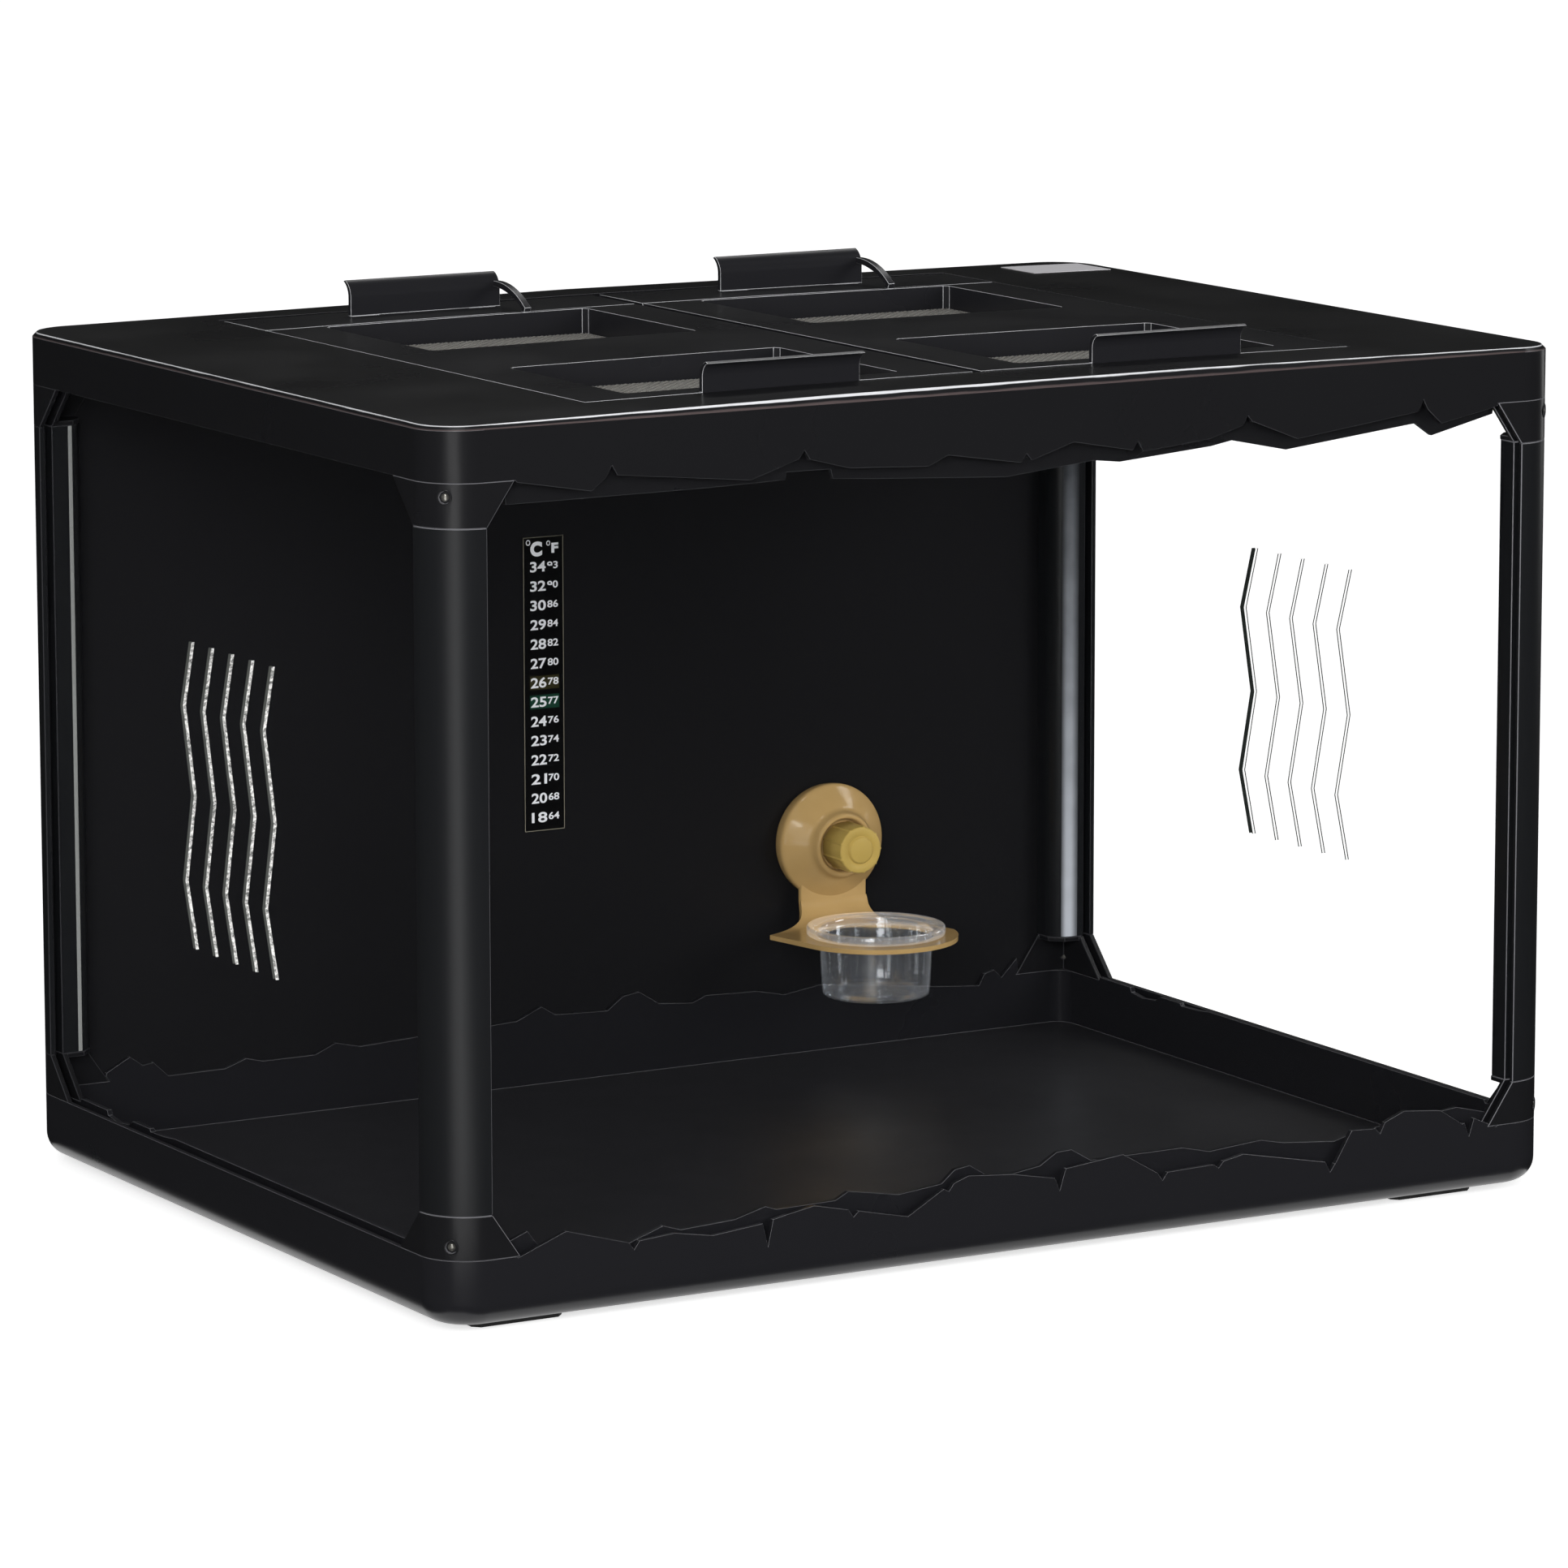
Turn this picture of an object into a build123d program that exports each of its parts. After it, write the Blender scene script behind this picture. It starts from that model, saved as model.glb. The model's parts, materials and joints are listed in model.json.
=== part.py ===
from build123d import *
import os
from math import cos, pi, radians, sin, sqrt

# Reptile terrarium: a clear box with black corner posts, an opaque back, a tray with a
# rock-shaped rim, a matching top frame with two hinged lids, and a feeding cup on a sucker.
# Millimetres. X runs along the front, Y to the back, Z up from the surface it stands on.
# Heights are written from the tray's underside, and every piece is raised by the feet.

# Driving dimensions of the whole box
body_length = 520.0
body_depth = 378.0
body_height = 350.0
top_crown = 2.0
corner_radius = 20.0
foot_height = 3.0

# Double walls: outer skin, channel for a pane, inner skin
skin = 2.2
pane_thickness = 3.0
pane_play = 0.2
inner_corner_radius = 8.0

# Tray
tray_rim = 27.0
floor_thickness = 3.2
tray_edge_radius = 10.0
channel_floor = 8.0
tallest_rock = 44.0

# Corner posts and brackets
post_leg = 21.0
post_inner_chamfer = 5.5
groove_depth = 7.0
post_bore = 8.0
bracket_height = 17.5
front_flare = 12.0
side_flare = 16.5
bracket_play = 0.3
post_seat = 2.0
spigot_height = 8.0
spigot_play = 0.1
screw_above_seam = 5.5
screw_head_radius = 2.3
screw_head_height = 1.0
screw_head_sides = 8
screw_head_play = 0.3
screw_shank_radius = 1.2
screw_shank_sides = 4
screw_shank_play = 0.02
screw_length = 4.0

# Top frame
frame_height = 21.5
frame_edge_chamfer = 1.8
plate_thickness = 3.0
channel_roof = 6.5
ledge_width = 6.0
ledge_thickness = 2.5
well_wall = 2.0
lowest_skirt = 38.0

# Lids and their hinges
lid_length = 175.0
lid_gap = 4.0
lid_play = 0.8
lid_front_inset = 36.0
hinge_inset = 28.0
barrel_radius = 3.2
hinge_pin_radius = 1.2
hinge_pin_play = 0.06
hinge_pin_bite = 6.0
seat_gap = 0.3
groove_to_hinge = 39.0
lid_groove_width = 0.9
lid_groove_depth = 0.8

# Windows in the lids, and their mesh
window_length = 124.0
window_depth = 96.0
window_to_front = 62.0
window_to_hinge = 90.0
window_corner = 2.0
window_sink = 10.0
window_wall = 1.8
mesh_flange = 3.0
mesh_thickness = 0.6
mesh_play = 0.2
mesh_columns = 4
mesh_rows = 3
mesh_bar = 1.4

# Finger tabs
tab_length = 71.0
tab_thickness = 2.4
front_tab_height = 12.0
rear_tab_height = 14.5
tab_flare = 4.5
tab_to_hinge = 14.0
strap_width = 3.0
strap_reach = 28.0
strap_thickness = 2.3
slot_length = 12.5
slot_width = 1.6

# Vent slots in the side panes
vent_count = 5
vent_pitch = 18.1
vent_front_y = -41.5
vent_swing = 8.8
vent_width = 2.4
vent_top = 239.0
vent_runs = (27.0, 36.0, 36.0, 27.0)

# Thermometer strip on the back panel
strip_length = 130.0
strip_width = 20.0
strip_thickness = 0.4
strip_x = -14.5
strip_z = 180.5

# Feeder: sucker, bracket, knob and cup
feeder_x = 127.0
feeder_z = 98.5
sucker_radius = 23.5
sucker_rim = 2.8
stud_radius = 2.5
stud_reach = 29.0
dome_radius = 24.3
dome_depth = 16.5
collar_radius = 13.5
collar_height = 3.6
collar_recess = 2.0
knob_radius = 9.4
knob_length = 17.0
knob_lobes = 9
knob_flute_depth = 0.9
knob_play = 0.8
knob_bore_play = 0.06
knob_boss_radius = 5.0
neck_width = 34.0
neck_thickness = 2.4
neck_reach = 11.5
neck_root_height = 10.0
neck_root_reach = 5.0
neck_root_rise = 4.2
ledge_z = 61.4
ring_radius = 38.5
ring_thickness = 2.4
cup_radius = 25.4
cup_foot_radius = 23.4
cup_foot_height = 3.2
cup_rim_radius = 31.0
cup_rim_height = 2.6
cup_height = 28.5
cup_wall = 1.0
cup_play = 0.6
cup_reach = 45.5

# Feet and sticker
foot_length = 40.0
foot_width = 18.0
foot_corner = 3.0
left_foot_inset = 40.0
right_foot_inset = 50.0
foot_inset = 23.0
sticker_length = 40.0
sticker_width = 28.0
sticker_thickness = 0.2
sticker_side_inset = 27.0
sticker_rear_inset = 29.0

# Sizes worked out from the ones above
half_length = body_length / 2
half_depth = body_depth / 2
channel = pane_thickness + 2 * pane_play
wall = 2 * skin + channel
mid_channel = skin + channel / 2
bottom_post = tray_rim + bracket_height
top_seam = body_height - frame_height
top_post = top_seam - bracket_height
plate_underside = body_height - plate_thickness
crown_radius = (half_length ** 2 + top_crown ** 2) / (2 * top_crown)
lid_outer_x = lid_gap / 2 + lid_length
lid_middle_x = lid_gap / 2 + lid_length / 2
pane_bottom = channel_floor + pane_play
pane_top = body_height - channel_roof - pane_play
pane_end = post_leg - groove_depth + pane_play
panel_face_y = half_depth - skin - pane_play - pane_thickness
lid_front_y = -half_depth + lid_front_inset
hinge_y = half_depth - hinge_inset
lid_groove_y = hinge_y - groove_to_hinge
rear_tab_y = hinge_y - tab_to_hinge
front_window_y = lid_front_y + window_to_front
rear_window_y = hinge_y - window_to_hinge
post_core = (wall + post_leg) / 2 - 3.0
CORNERS = {"front_left": (1, 1), "front_right": (-1, 1), "rear_left": (1, -1), "rear_right": (-1, -1)}

# Outlines read from left to right, with narrow V notches kept apart. The tray's are
# (position, height), the top frame's (position, depth below the top's ends).
TRAY_FRONT_OUTER = [
    (-228, 26.5), (-207, 34.5), (-179, 26.5), (-159, 28), (-142, 25), (-120, 27), (-108, 29.5),
    (-96, 31.5), (-53, 22), (-36, 31.5), (-25, 35.3), (-4, 33.5), (19, 29), (21, 33), (48, 35.7),
    (65, 25.8), (92, 26.5), (106, 29.2), (146, 21.3), (151, 20), (159, 33), (170, 32.5), (185, 38.3),
    (203, 36.5), (214, 29.5), (220, 31.3), (231, 26.5)]
TRAY_FRONT_NOTCHES = [(-177, 23.5), (-117, 17.5), (-78, 24.8), (-34, 30), (18, 24.2), (67, 22.8),
                      (94, 24.8), (148.5, 16.8), (173, 30), (217.5, 24)]
TRAY_FRONT_INNER = [
    (-229, 32), (-221, 35), (-216, 28.5), (-176, 25), (-161, 30), (-153, 27.5), (-129, 28.7),
    (-115, 32.3), (-110, 30.6), (-83, 31), (-77, 34), (-54, 30), (-34, 32), (-28, 37), (-21, 38),
    (-12, 32.5), (-3, 32), (12, 34), (20, 38.7), (27, 39), (36, 33.6), (80, 33.7), (93, 30.7),
    (118, 32.6), (129, 30.3), (154, 28), (164, 30.5), (215, 35.5), (229, 32)]
TRAY_REAR_INNER = [
    (-228, 30.8), (-217, 36.6), (-211, 32.3), (-206, 33), (-199, 26.4), (-172, 26.6), (-162, 30),
    (-154, 28), (-129, 28), (-119, 32.2), (-107, 29.4), (-81, 30.6), (-42, 31.8), (-30, 32.4),
    (-18, 37.6), (-11, 33.3), (15, 32.3), (23, 38), (31, 39.2), (41, 32.9), (58, 31.4), (65, 34.1),
    (91, 33.2), (105, 30.3), (123, 32.8), (184, 25.8), (207, 23.8), (210, 29), (215, 30.4),
    (219, 26.4), (227, 34.5)]
TRAY_SIDE_INNER = [
    (-150, 28.4), (60, 28.4), (69, 27.5), (83, 27), (84, 28.2), (100, 28.2), (104, 26), (115, 25),
    (124, 26.2), (125, 28.3), (150, 28.4)]
TOP_FRONT_OUTER = [
    (-226, 22.4), (-194, 28), (-186, 22), (-183, 22.6), (-124, 28.7), (-101, 21.5), (-80, 27),
    (-44, 28.8), (-35, 25), (-2, 30.2), (4, 29.5), (23, 23.7), (50, 28.8), (56, 29.7),
    (87, 26.8), (103, 22.4), (108, 21.4), (129, 29.6), (188, 22.5), (192, 21.7), (199, 28),
    (223, 23.6), (229, 21.7)]
TOP_FRONT_NOTCHES = [(-185, 18.7), (-100, 18.7), (1, 26.8), (53, 25.5), (105, 18.6), (190, 17.6)]
TOP_FRONT_INNER = [
    (-228, 31.5), (-139, 31.2), (-105.5, 30.5), (-105, 27.5), (-85, 27.7), (-84, 31.5),
    (-63, 33), (-5, 36.3), (36, 32.6), (48, 34), (91, 30.7), (101, 29), (127, 34.5),
    (190, 28), (198, 33.5), (228, 26.6)]


# Height of the bowed top at a distance x from the middle
def crown_z(x):
    crest = body_height + top_crown
    return crest - (crown_radius - sqrt(crown_radius ** 2 - x ** 2))


# Slab that follows the bow of the top, between two depths below it
def crowned_slab(x0, x1, y0, y1, shallow, deep):
    middle = (x0 + x1) / 2
    edges = Curve() + [
        ThreePointArc(*[(x, crown_z(x) - shallow) for x in (x0, middle, x1)]),
        Line((x1, crown_z(x1) - shallow), (x1, crown_z(x1) - deep)),
        ThreePointArc(*[(x, crown_z(x) - deep) for x in (x1, middle, x0)]),
        Line((x0, crown_z(x0) - deep), (x0, crown_z(x0) - shallow))]
    return extrude(Plane.XZ.offset(-y1) * make_face(edges), y1 - y0)


# Box between two corners
def block(x0, x1, y0, y1, z0, z1):
    size = (x1 - x0, y1 - y0, z1 - z0)
    return Pos((x0 + x1) / 2, (y0 + y1) / 2, (z0 + z1) / 2) * Box(*size)


# Upright block with the body's rounded plan, set in by a distance
def rounded_block(inset, radius, z0, z1):
    plan = RectangleRounded(body_length - 2 * inset, body_depth - 2 * inset, radius)
    return Pos(0, 0, z0) * extrude(plan, z1 - z0)


# Outline of the top frame, from depths to heights
def hung(outline):
    return [(x, body_height - depth) for x, depth in outline]


# Height of an outline at a position, by straight interpolation
def height_at(outline, position):
    for (a, za), (b, zb) in zip(outline, outline[1:]):
        if a <= position <= b:
            return za + (zb - za) * (position - a) / (b - a)
    return outline[0][1] if position < outline[0][0] else outline[-1][1]


# Outline with a narrow V cut at each notch
def notched(outline, notches, half_width=2.4):
    points = [p for p in outline if all(abs(p[0] - x) > half_width for x, z in notches)]
    for x, z in notches:
        points += [(x - half_width, height_at(outline, x - half_width)), (x, z),
                   (x + half_width, height_at(outline, x + half_width))]
    return sorted(points)


# Wall of air above or below an outline, which trims a skin that runs along X
def trim_x(outline, seam, far, y0, y1):
    ends = [(-half_length - 1, seam), (outline[0][0] - 1, seam)]
    tail = [(outline[-1][0] + 1, seam), (half_length + 1, seam)]
    points = ends + outline + tail + [(half_length + 1, far), (-half_length - 1, far)]
    return extrude(Plane.XZ.offset(-y1) * make_face(Polyline(points, close=True)), y1 - y0)


# The same for a skin that runs along Y
def trim_y(outline, seam, far, x0, x1):
    ends = [(-half_depth - 1, seam), (outline[0][0] - 1, seam)]
    tail = [(outline[-1][0] + 1, seam), (half_depth + 1, seam)]
    points = ends + outline + tail + [(half_depth + 1, far), (-half_depth - 1, far)]
    return extrude(Plane.YZ.offset(x0) * make_face(Polyline(points, close=True)), x1 - x0)


# Four straight channels for the panes, inside the double wall
def pane_channels(z0, z1):
    end = post_leg - groove_depth
    along = half_length - end
    across = half_depth - end
    near = skin
    far = skin + channel
    front = block(-along, along, -half_depth + near, -half_depth + far, z0, z1)
    left = block(-half_length + near, -half_length + far, -across, across, z0, z1)
    return front + mirror(front, Plane.XZ) + left + mirror(left, Plane.YZ)


# Trims for the skins that run straight at one height
def straight_trims(seam, far):
    low, high = min(seam, far), max(seam, far)
    x_mid = half_length - mid_channel
    y_mid = half_depth - mid_channel
    side = block(x_mid, half_length + 1, -half_depth - 1, half_depth + 1, low, high)
    rear = block(-half_length - 1, half_length + 1, y_mid, half_depth + 1, low, high)
    near = post_leg + 3
    corner = block(half_length - near, half_length + 1, half_depth - near, half_depth + 1, low, high)
    corners = corner + mirror(corner, Plane.YZ)
    return side + mirror(side, Plane.YZ) + rear + corners + mirror(corners, Plane.XZ)


# Moulded tray: floor, double wall with pane channels, rock-shaped rims
def make_tray():
    body = rounded_block(0, corner_radius, 0, tallest_rock)
    body = fillet(body.edges().group_by(Axis.Z)[0], tray_edge_radius)
    body -= rounded_block(wall, inner_corner_radius, floor_thickness, tallest_rock + 1)
    body -= pane_channels(channel_floor, tallest_rock + 1)
    far = tallest_rock + 2
    x_mid = half_length - mid_channel
    y_mid = half_depth - mid_channel
    x_in = half_length - wall - 0.5
    y_in = half_depth - wall - 0.5
    body -= straight_trims(tray_rim, far)
    outer = notched(TRAY_FRONT_OUTER, TRAY_FRONT_NOTCHES)
    body -= trim_x(outer, tray_rim, far, -half_depth - 1, -y_mid)
    body -= trim_x(TRAY_FRONT_INNER, tray_rim, far, -y_mid, -y_in)
    body -= trim_x(TRAY_REAR_INNER, tray_rim, far, y_in, y_mid)
    side = trim_y(TRAY_SIDE_INNER, tray_rim, far, x_in, x_mid)
    body -= side + mirror(side, Plane.YZ)
    room = at_bottom(flared_plates(bracket_play, wall + 1))
    for ways in CORNERS.values():
        body -= place_corner(room, *ways)
    return body


# One corner's plan of the post, from the outer corner at the origin inwards, with its
# grooves for the panes
def post_plan():
    square = Rectangle(post_leg, post_leg, align=(Align.MIN, Align.MIN))
    plan = fillet(square.vertices().group_by(Axis.X)[0].sort_by(Axis.Y)[0], corner_radius)
    inner = plan.vertices().group_by(Axis.X)[-1].sort_by(Axis.Y)[-1]
    plan = chamfer(inner, post_inner_chamfer)
    groove = Rectangle(groove_depth, channel, align=(Align.MAX, Align.MIN))
    across = Rectangle(channel, groove_depth, align=(Align.MIN, Align.MAX))
    return plan - Pos(post_leg, skin) * groove - Pos(skin, post_leg) * across


# Moves a piece made at the front left corner to one of the four corners
def place_corner(piece, x_way, y_way):
    piece = Pos(-half_length, -half_depth, 0) * piece
    if x_way < 0:
        piece = mirror(piece, Plane.YZ)
    if y_way < 0:
        piece = mirror(piece, Plane.XZ)
    return piece


# Corner post with a groove for a pane along each leg and a square bore for the spigots
def make_post():
    plan = post_plan() - Pos(post_core, post_core) * Rectangle(post_bore, post_bore)
    return Pos(0, 0, bottom_post) * extrude(plan, top_post - bottom_post)


# Axis of the corner screw: it points inwards across the rounded corner
def screw_plane(depth):
    middle = corner_radius * (1 - cos(radians(45))) + depth * cos(radians(45))
    return Plane(origin=(middle, middle, screw_above_seam), z_dir=(1, 1, 0))


# Two plates of a bracket, which narrow from the seam to the post
def flared_plates(play, thickness):
    front = Polyline((0, 0), (post_leg + front_flare + play, 0), (post_leg + play, bracket_height),
                     (0, bracket_height), close=True)
    side = Polyline((0, 0), (post_leg + side_flare + play, 0), (post_leg + play, bracket_height),
                    (0, bracket_height), close=True)
    return extrude(Plane.XZ * make_face(front), -thickness) + extrude(Plane.YZ * make_face(side), thickness)


# Flared corner bracket with its seam at zero height and the post's seat above
def make_bracket():
    body = flared_plates(0, wall)
    far = post_leg + side_flare + 1
    near = post_leg - groove_depth
    body -= block(near, far, skin, skin + channel, -1, bracket_height + 1)
    body -= block(skin, skin + channel, near, far, -1, bracket_height + 1)
    body += Pos(0, 0, bracket_height - post_seat) * extrude(post_plan(), post_seat)
    spigot = Rectangle(post_bore - 2 * spigot_play, post_bore - 2 * spigot_play)
    body += Pos(post_core, post_core, bracket_height) * extrude(spigot, spigot_height)
    reach = post_leg + side_flare
    corner = Rectangle(2 * reach, 2 * reach, align=(Align.MIN, Align.MIN))
    corner = fillet(corner.vertices().group_by(Axis.X)[0].sort_by(Axis.Y)[0], corner_radius)
    body &= extrude(corner, bracket_height + spigot_height)
    recess = RegularPolygon(screw_head_radius + screw_head_play, screw_head_sides)
    hole = RegularPolygon(screw_shank_radius + screw_shank_play, screw_shank_sides)
    body -= extrude(screw_plane(-screw_head_height) * recess, 2 * screw_head_height)
    return body - extrude(screw_plane(0) * hole, screw_length + screw_head_play)


# Small screw that lies in the bracket's recess, with few flat sides in place of round ones
def make_corner_screw():
    head = RegularPolygon(screw_head_radius, screw_head_sides)
    shank = RegularPolygon(screw_shank_radius, screw_shank_sides)
    return extrude(screw_plane(0) * head, screw_head_height) + extrude(screw_plane(0) * shank, screw_length)


# Turns a piece made on the tray's seam to the top frame's seam
def at_top(piece):
    return Pos(0, 0, top_seam) * mirror(piece, Plane.XY)


def at_bottom(piece):
    return Pos(0, 0, tray_rim) * piece


# Plain clear pane in the front channel
def make_front_pane():
    x = half_length - pane_end
    y = -half_depth + skin + pane_play
    return block(-x, x, y, y + pane_thickness, pane_bottom, pane_top)


# Opaque back panel in the rear channel
def make_back_panel():
    return mirror(make_front_pane(), Plane.XZ)


# Zigzag of one vent slot, cut right through a side pane
def vent_slot(x0, x1, front):
    heights = [vent_top - sum(vent_runs[:i]) for i in range(len(vent_runs) + 1)]
    path = [(front + vent_swing * (i % 2), z) for i, z in enumerate(heights)]
    rear_edge = [(y + vent_width, z) for y, z in reversed(path)]
    return extrude(Plane.YZ.offset(x0) * make_face(Polyline(path + rear_edge, close=True)), x1 - x0)


# Clear left pane with its row of zigzag slots
def make_left_pane():
    y = half_depth - pane_end
    x = -half_length + skin + pane_play
    pane = block(x, x + pane_thickness, -y, y, pane_bottom, pane_top)
    for i in range(vent_count):
        pane -= vent_slot(x - 1, x + pane_thickness + 1, vent_front_y + i * vent_pitch)
    return pane


# Height of the hinge axis: the barrel lies under the lid's lower, outer end
def hinge_z():
    return crown_z(lid_outer_x) - barrel_radius


# Top frame: bowed plate, rock-shaped skirts, lid well, ledges and hinge lug
def make_top_frame():
    low = body_height - lowest_skirt
    body = rounded_block(0, corner_radius, low, body_height + top_crown + 1)
    body &= crowned_slab(-half_length - 5, half_length + 5, -half_depth - 5, half_depth + 5, 0, lowest_skirt + 9)
    body = chamfer(body.faces().sort_by(Axis.Z)[-1].edges(), frame_edge_chamfer)
    body -= rounded_block(wall, inner_corner_radius, low - 1, plate_underside)
    body -= pane_channels(low - 1, body_height - channel_roof)
    y_mid = half_depth - mid_channel
    x_mid = half_length - mid_channel
    y_in = half_depth - wall - 0.5
    x_in = half_length - wall - 0.5
    far = low - 2
    body -= straight_trims(far, top_seam)
    inner_side = block(x_in, x_mid + 0.1, -half_depth, half_depth, far, top_seam)
    body -= inner_side + mirror(inner_side, Plane.YZ)
    body -= block(-half_length, half_length, y_in, y_mid + 0.1, far, top_seam)
    outer = notched(hung(TOP_FRONT_OUTER), hung(TOP_FRONT_NOTCHES))
    body -= trim_x(outer, top_seam, far, -half_depth - 1, -y_mid)
    body -= trim_x(hung(TOP_FRONT_INNER), top_seam, far, -y_mid, -y_in)
    room = at_top(flared_plates(bracket_play, wall + 1))
    for ways in CORNERS.values():
        body -= place_corner(room, *ways)

    side = lid_outer_x + lid_play
    front = lid_front_y - lid_play
    rear = hinge_y + barrel_radius + crown_z(0) - crown_z(lid_outer_x) + lid_play
    trough_top = hinge_z() - barrel_radius - 0.5
    well_low = trough_top - well_wall
    body += block(-side - well_wall, side + well_wall, front - well_wall, rear + well_wall,
                  well_low, plate_underside)
    body -= block(-side, side, front, rear, well_low - 1, body_height + top_crown + 1)
    ledge_top = plate_thickness + seat_gap
    slab = crowned_slab(-side - 1, side + 1, front - 1, rear + 1, ledge_top, ledge_top + ledge_thickness)
    inner = ledge_width
    hole = block(lid_gap / 2 + inner, side - inner, front + inner, rear - 2 * inner, well_low, body_height)
    slab -= hole + mirror(hole, Plane.YZ)
    trough_room = block(-side, side, hinge_y - 2 * barrel_radius, rear, trough_top, body_height)
    body += slab - trough_room
    body += block(-side - 1, side + 1, hinge_y - 3 * barrel_radius, rear + 1, well_low, trough_top)
    boss = block(side, side + 2 * well_wall + 2, hinge_y - 5, hinge_y + 5, well_low, plate_underside)
    body += boss + mirror(boss, Plane.YZ)
    lug_half = lid_gap / 2 - 0.5
    lug = block(-lug_half, lug_half, hinge_y - barrel_radius, hinge_y + barrel_radius, well_low, hinge_z())
    lug += Pos(0, hinge_y, hinge_z()) * Rot(0, 90, 0) * Cylinder(barrel_radius, 2 * lug_half)
    body += lug
    bore = Pos(0, hinge_y, hinge_z()) * Rot(0, 90, 0) * Cylinder(hinge_pin_radius + 0.02, 2 * side + 9)
    return body - bore


# Steel pins: one in each side of the well, one through the middle lug
def make_side_pin():
    length = hinge_pin_bite + lid_play + 4.0
    start = lid_outer_x - hinge_pin_bite
    return Pos(start + length / 2, hinge_y, hinge_z()) * Rot(0, 90, 0) * Cylinder(hinge_pin_radius, length)


def make_middle_pin():
    return Pos(0, hinge_y, hinge_z()) * Rot(0, 90, 0) * Cylinder(hinge_pin_radius, lid_gap + 2 * hinge_pin_bite)


# Curved side view of a finger tab that flares away from the window, extruded along X
def make_tab(x0, x1, y_face, way, base, height):
    back = y_face - way * tab_thickness
    straight = base + 0.5 * height
    edges = Curve() + [
        Line((y_face, base - 1.5), (y_face, straight)),
        ThreePointArc((y_face, straight), (y_face + way * 0.3 * tab_flare, base + 0.8 * height),
                      (y_face + way * tab_flare, base + height - 0.6)),
        Line((y_face + way * tab_flare, base + height - 0.6), (y_face + way * (tab_flare - 1.6), base + height)),
        ThreePointArc((y_face + way * (tab_flare - 1.6), base + height),
                      (back + way * 0.3 * tab_flare, base + 0.8 * height), (back, straight)),
        Line((back, straight), (back, base - 1.5)),
        Line((back, base - 1.5), (y_face, base - 1.5))]
    return extrude(Plane.YZ.offset(x0) * make_face(edges), x1 - x0)


# Curved strap from a rear tab's right end down to the lid in front of it
def make_strap(x1, base):
    top = 0.75 * rear_tab_height
    back = rear_tab_y
    toe = back - strap_reach
    t = strap_thickness
    edges = Curve() + [
        ThreePointArc((back, base + top), (back - 0.55 * strap_reach, base + 0.8 * top), (toe, base + 2.0)),
        Line((toe, base + 2.0), (toe + 1.5, base - 1.5)),
        Line((toe + 1.5, base - 1.5), (toe + 1.5 + t, base - 1.5)),
        Line((toe + 1.5 + t, base - 1.5), (toe + 1.2 * t, base + 1.6)),
        ThreePointArc((toe + 1.2 * t, base + 1.6), (back - 0.5 * strap_reach, base + 0.8 * top - t),
                      (back, base + top - t)),
        Line((back, base + top - t), (back, base + top))]
    return extrude(Plane.YZ.offset(x1 - strap_width) * make_face(edges), strap_width)


# Bottom of the window's flange, on which the mesh lies
def mesh_seat_z():
    return crown_z(lid_middle_x) - window_sink - mesh_thickness


# Window-shaped block between two heights, grown or shrunk all round
def window_block(x, y, grow, z0, z1):
    plan = Rectangle(window_length + 2 * grow, window_depth + 2 * grow)
    if grow == 0:
        plan = chamfer(plan.vertices(), window_corner)
    return Pos(x, y, z0) * extrude(plan, z1 - z0)


# Lid on one side: bowed plate, hinge barrel, two sunk windows, tabs and strap
def make_lid(way):
    x0, x1 = sorted((way * lid_gap / 2, way * lid_outer_x))
    x = way * lid_middle_x
    seat = mesh_seat_z()
    lid = crowned_slab(x0, x1, lid_front_y, hinge_y, 0, plate_thickness)
    barrel = Pos(x, hinge_y, hinge_z()) * Rot(0, 90, 0) * Cylinder(barrel_radius, lid_length)
    lid += barrel
    for y in (front_window_y, rear_window_y):
        inside_plate = crown_z(lid_middle_x) - plate_thickness / 2
        lid += window_block(x, y, window_wall, seat - window_wall, inside_plate)
        lid -= window_block(x, y, 0, seat, body_height + top_crown + 1)
        lid -= window_block(x, y, -mesh_flange, seat - window_wall - 1, seat + 1)
    lid -= Pos(x, hinge_y, hinge_z()) * Rot(0, 90, 0) * Cylinder(hinge_pin_radius + hinge_pin_play, lid_length + 2)
    lid -= crowned_slab(x0 - 1, x1 + 1, lid_groove_y, lid_groove_y + lid_groove_width, -1, lid_groove_depth)
    base = crown_z(lid_middle_x)
    left = x - tab_length / 2
    right = x + tab_length / 2
    lid += make_tab(left, right, lid_front_y, -1, base, front_tab_height)
    lid += make_tab(left, right, rear_tab_y + tab_thickness, 1, base, rear_tab_height)
    lid += make_strap(right, base)
    for start in (left, right - slot_length - strap_width):
        lid -= block(start, start + slot_length, rear_tab_y - 1 - slot_width, rear_tab_y - 1,
                     base - 2 * plate_thickness, base + 1)
    return lid


# Steel mesh in a window, drawn with few wide gaps
def make_mesh(way, y):
    length = window_length - 2 * mesh_play
    depth = window_depth - 2 * mesh_play
    gap_x = (length - 2 * mesh_flange - (mesh_columns - 1) * mesh_bar) / mesh_columns
    gap_y = (depth - 2 * mesh_flange - (mesh_rows - 1) * mesh_bar) / mesh_rows
    plan = chamfer(Rectangle(length, depth).vertices(), window_corner)
    plan -= GridLocations(gap_x + mesh_bar, gap_y + mesh_bar, mesh_columns, mesh_rows) * Rectangle(gap_x, gap_y)
    return Pos(way * lid_middle_x, y, mesh_seat_z()) * extrude(plan, mesh_thickness)


# Thin strip stuck on the inner face of the back panel
def make_strip():
    face = panel_face_y
    return block(strip_x - strip_width / 2, strip_x + strip_width / 2, face - strip_thickness, face,
                 strip_z - strip_length / 2, strip_z + strip_length / 2)


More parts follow.
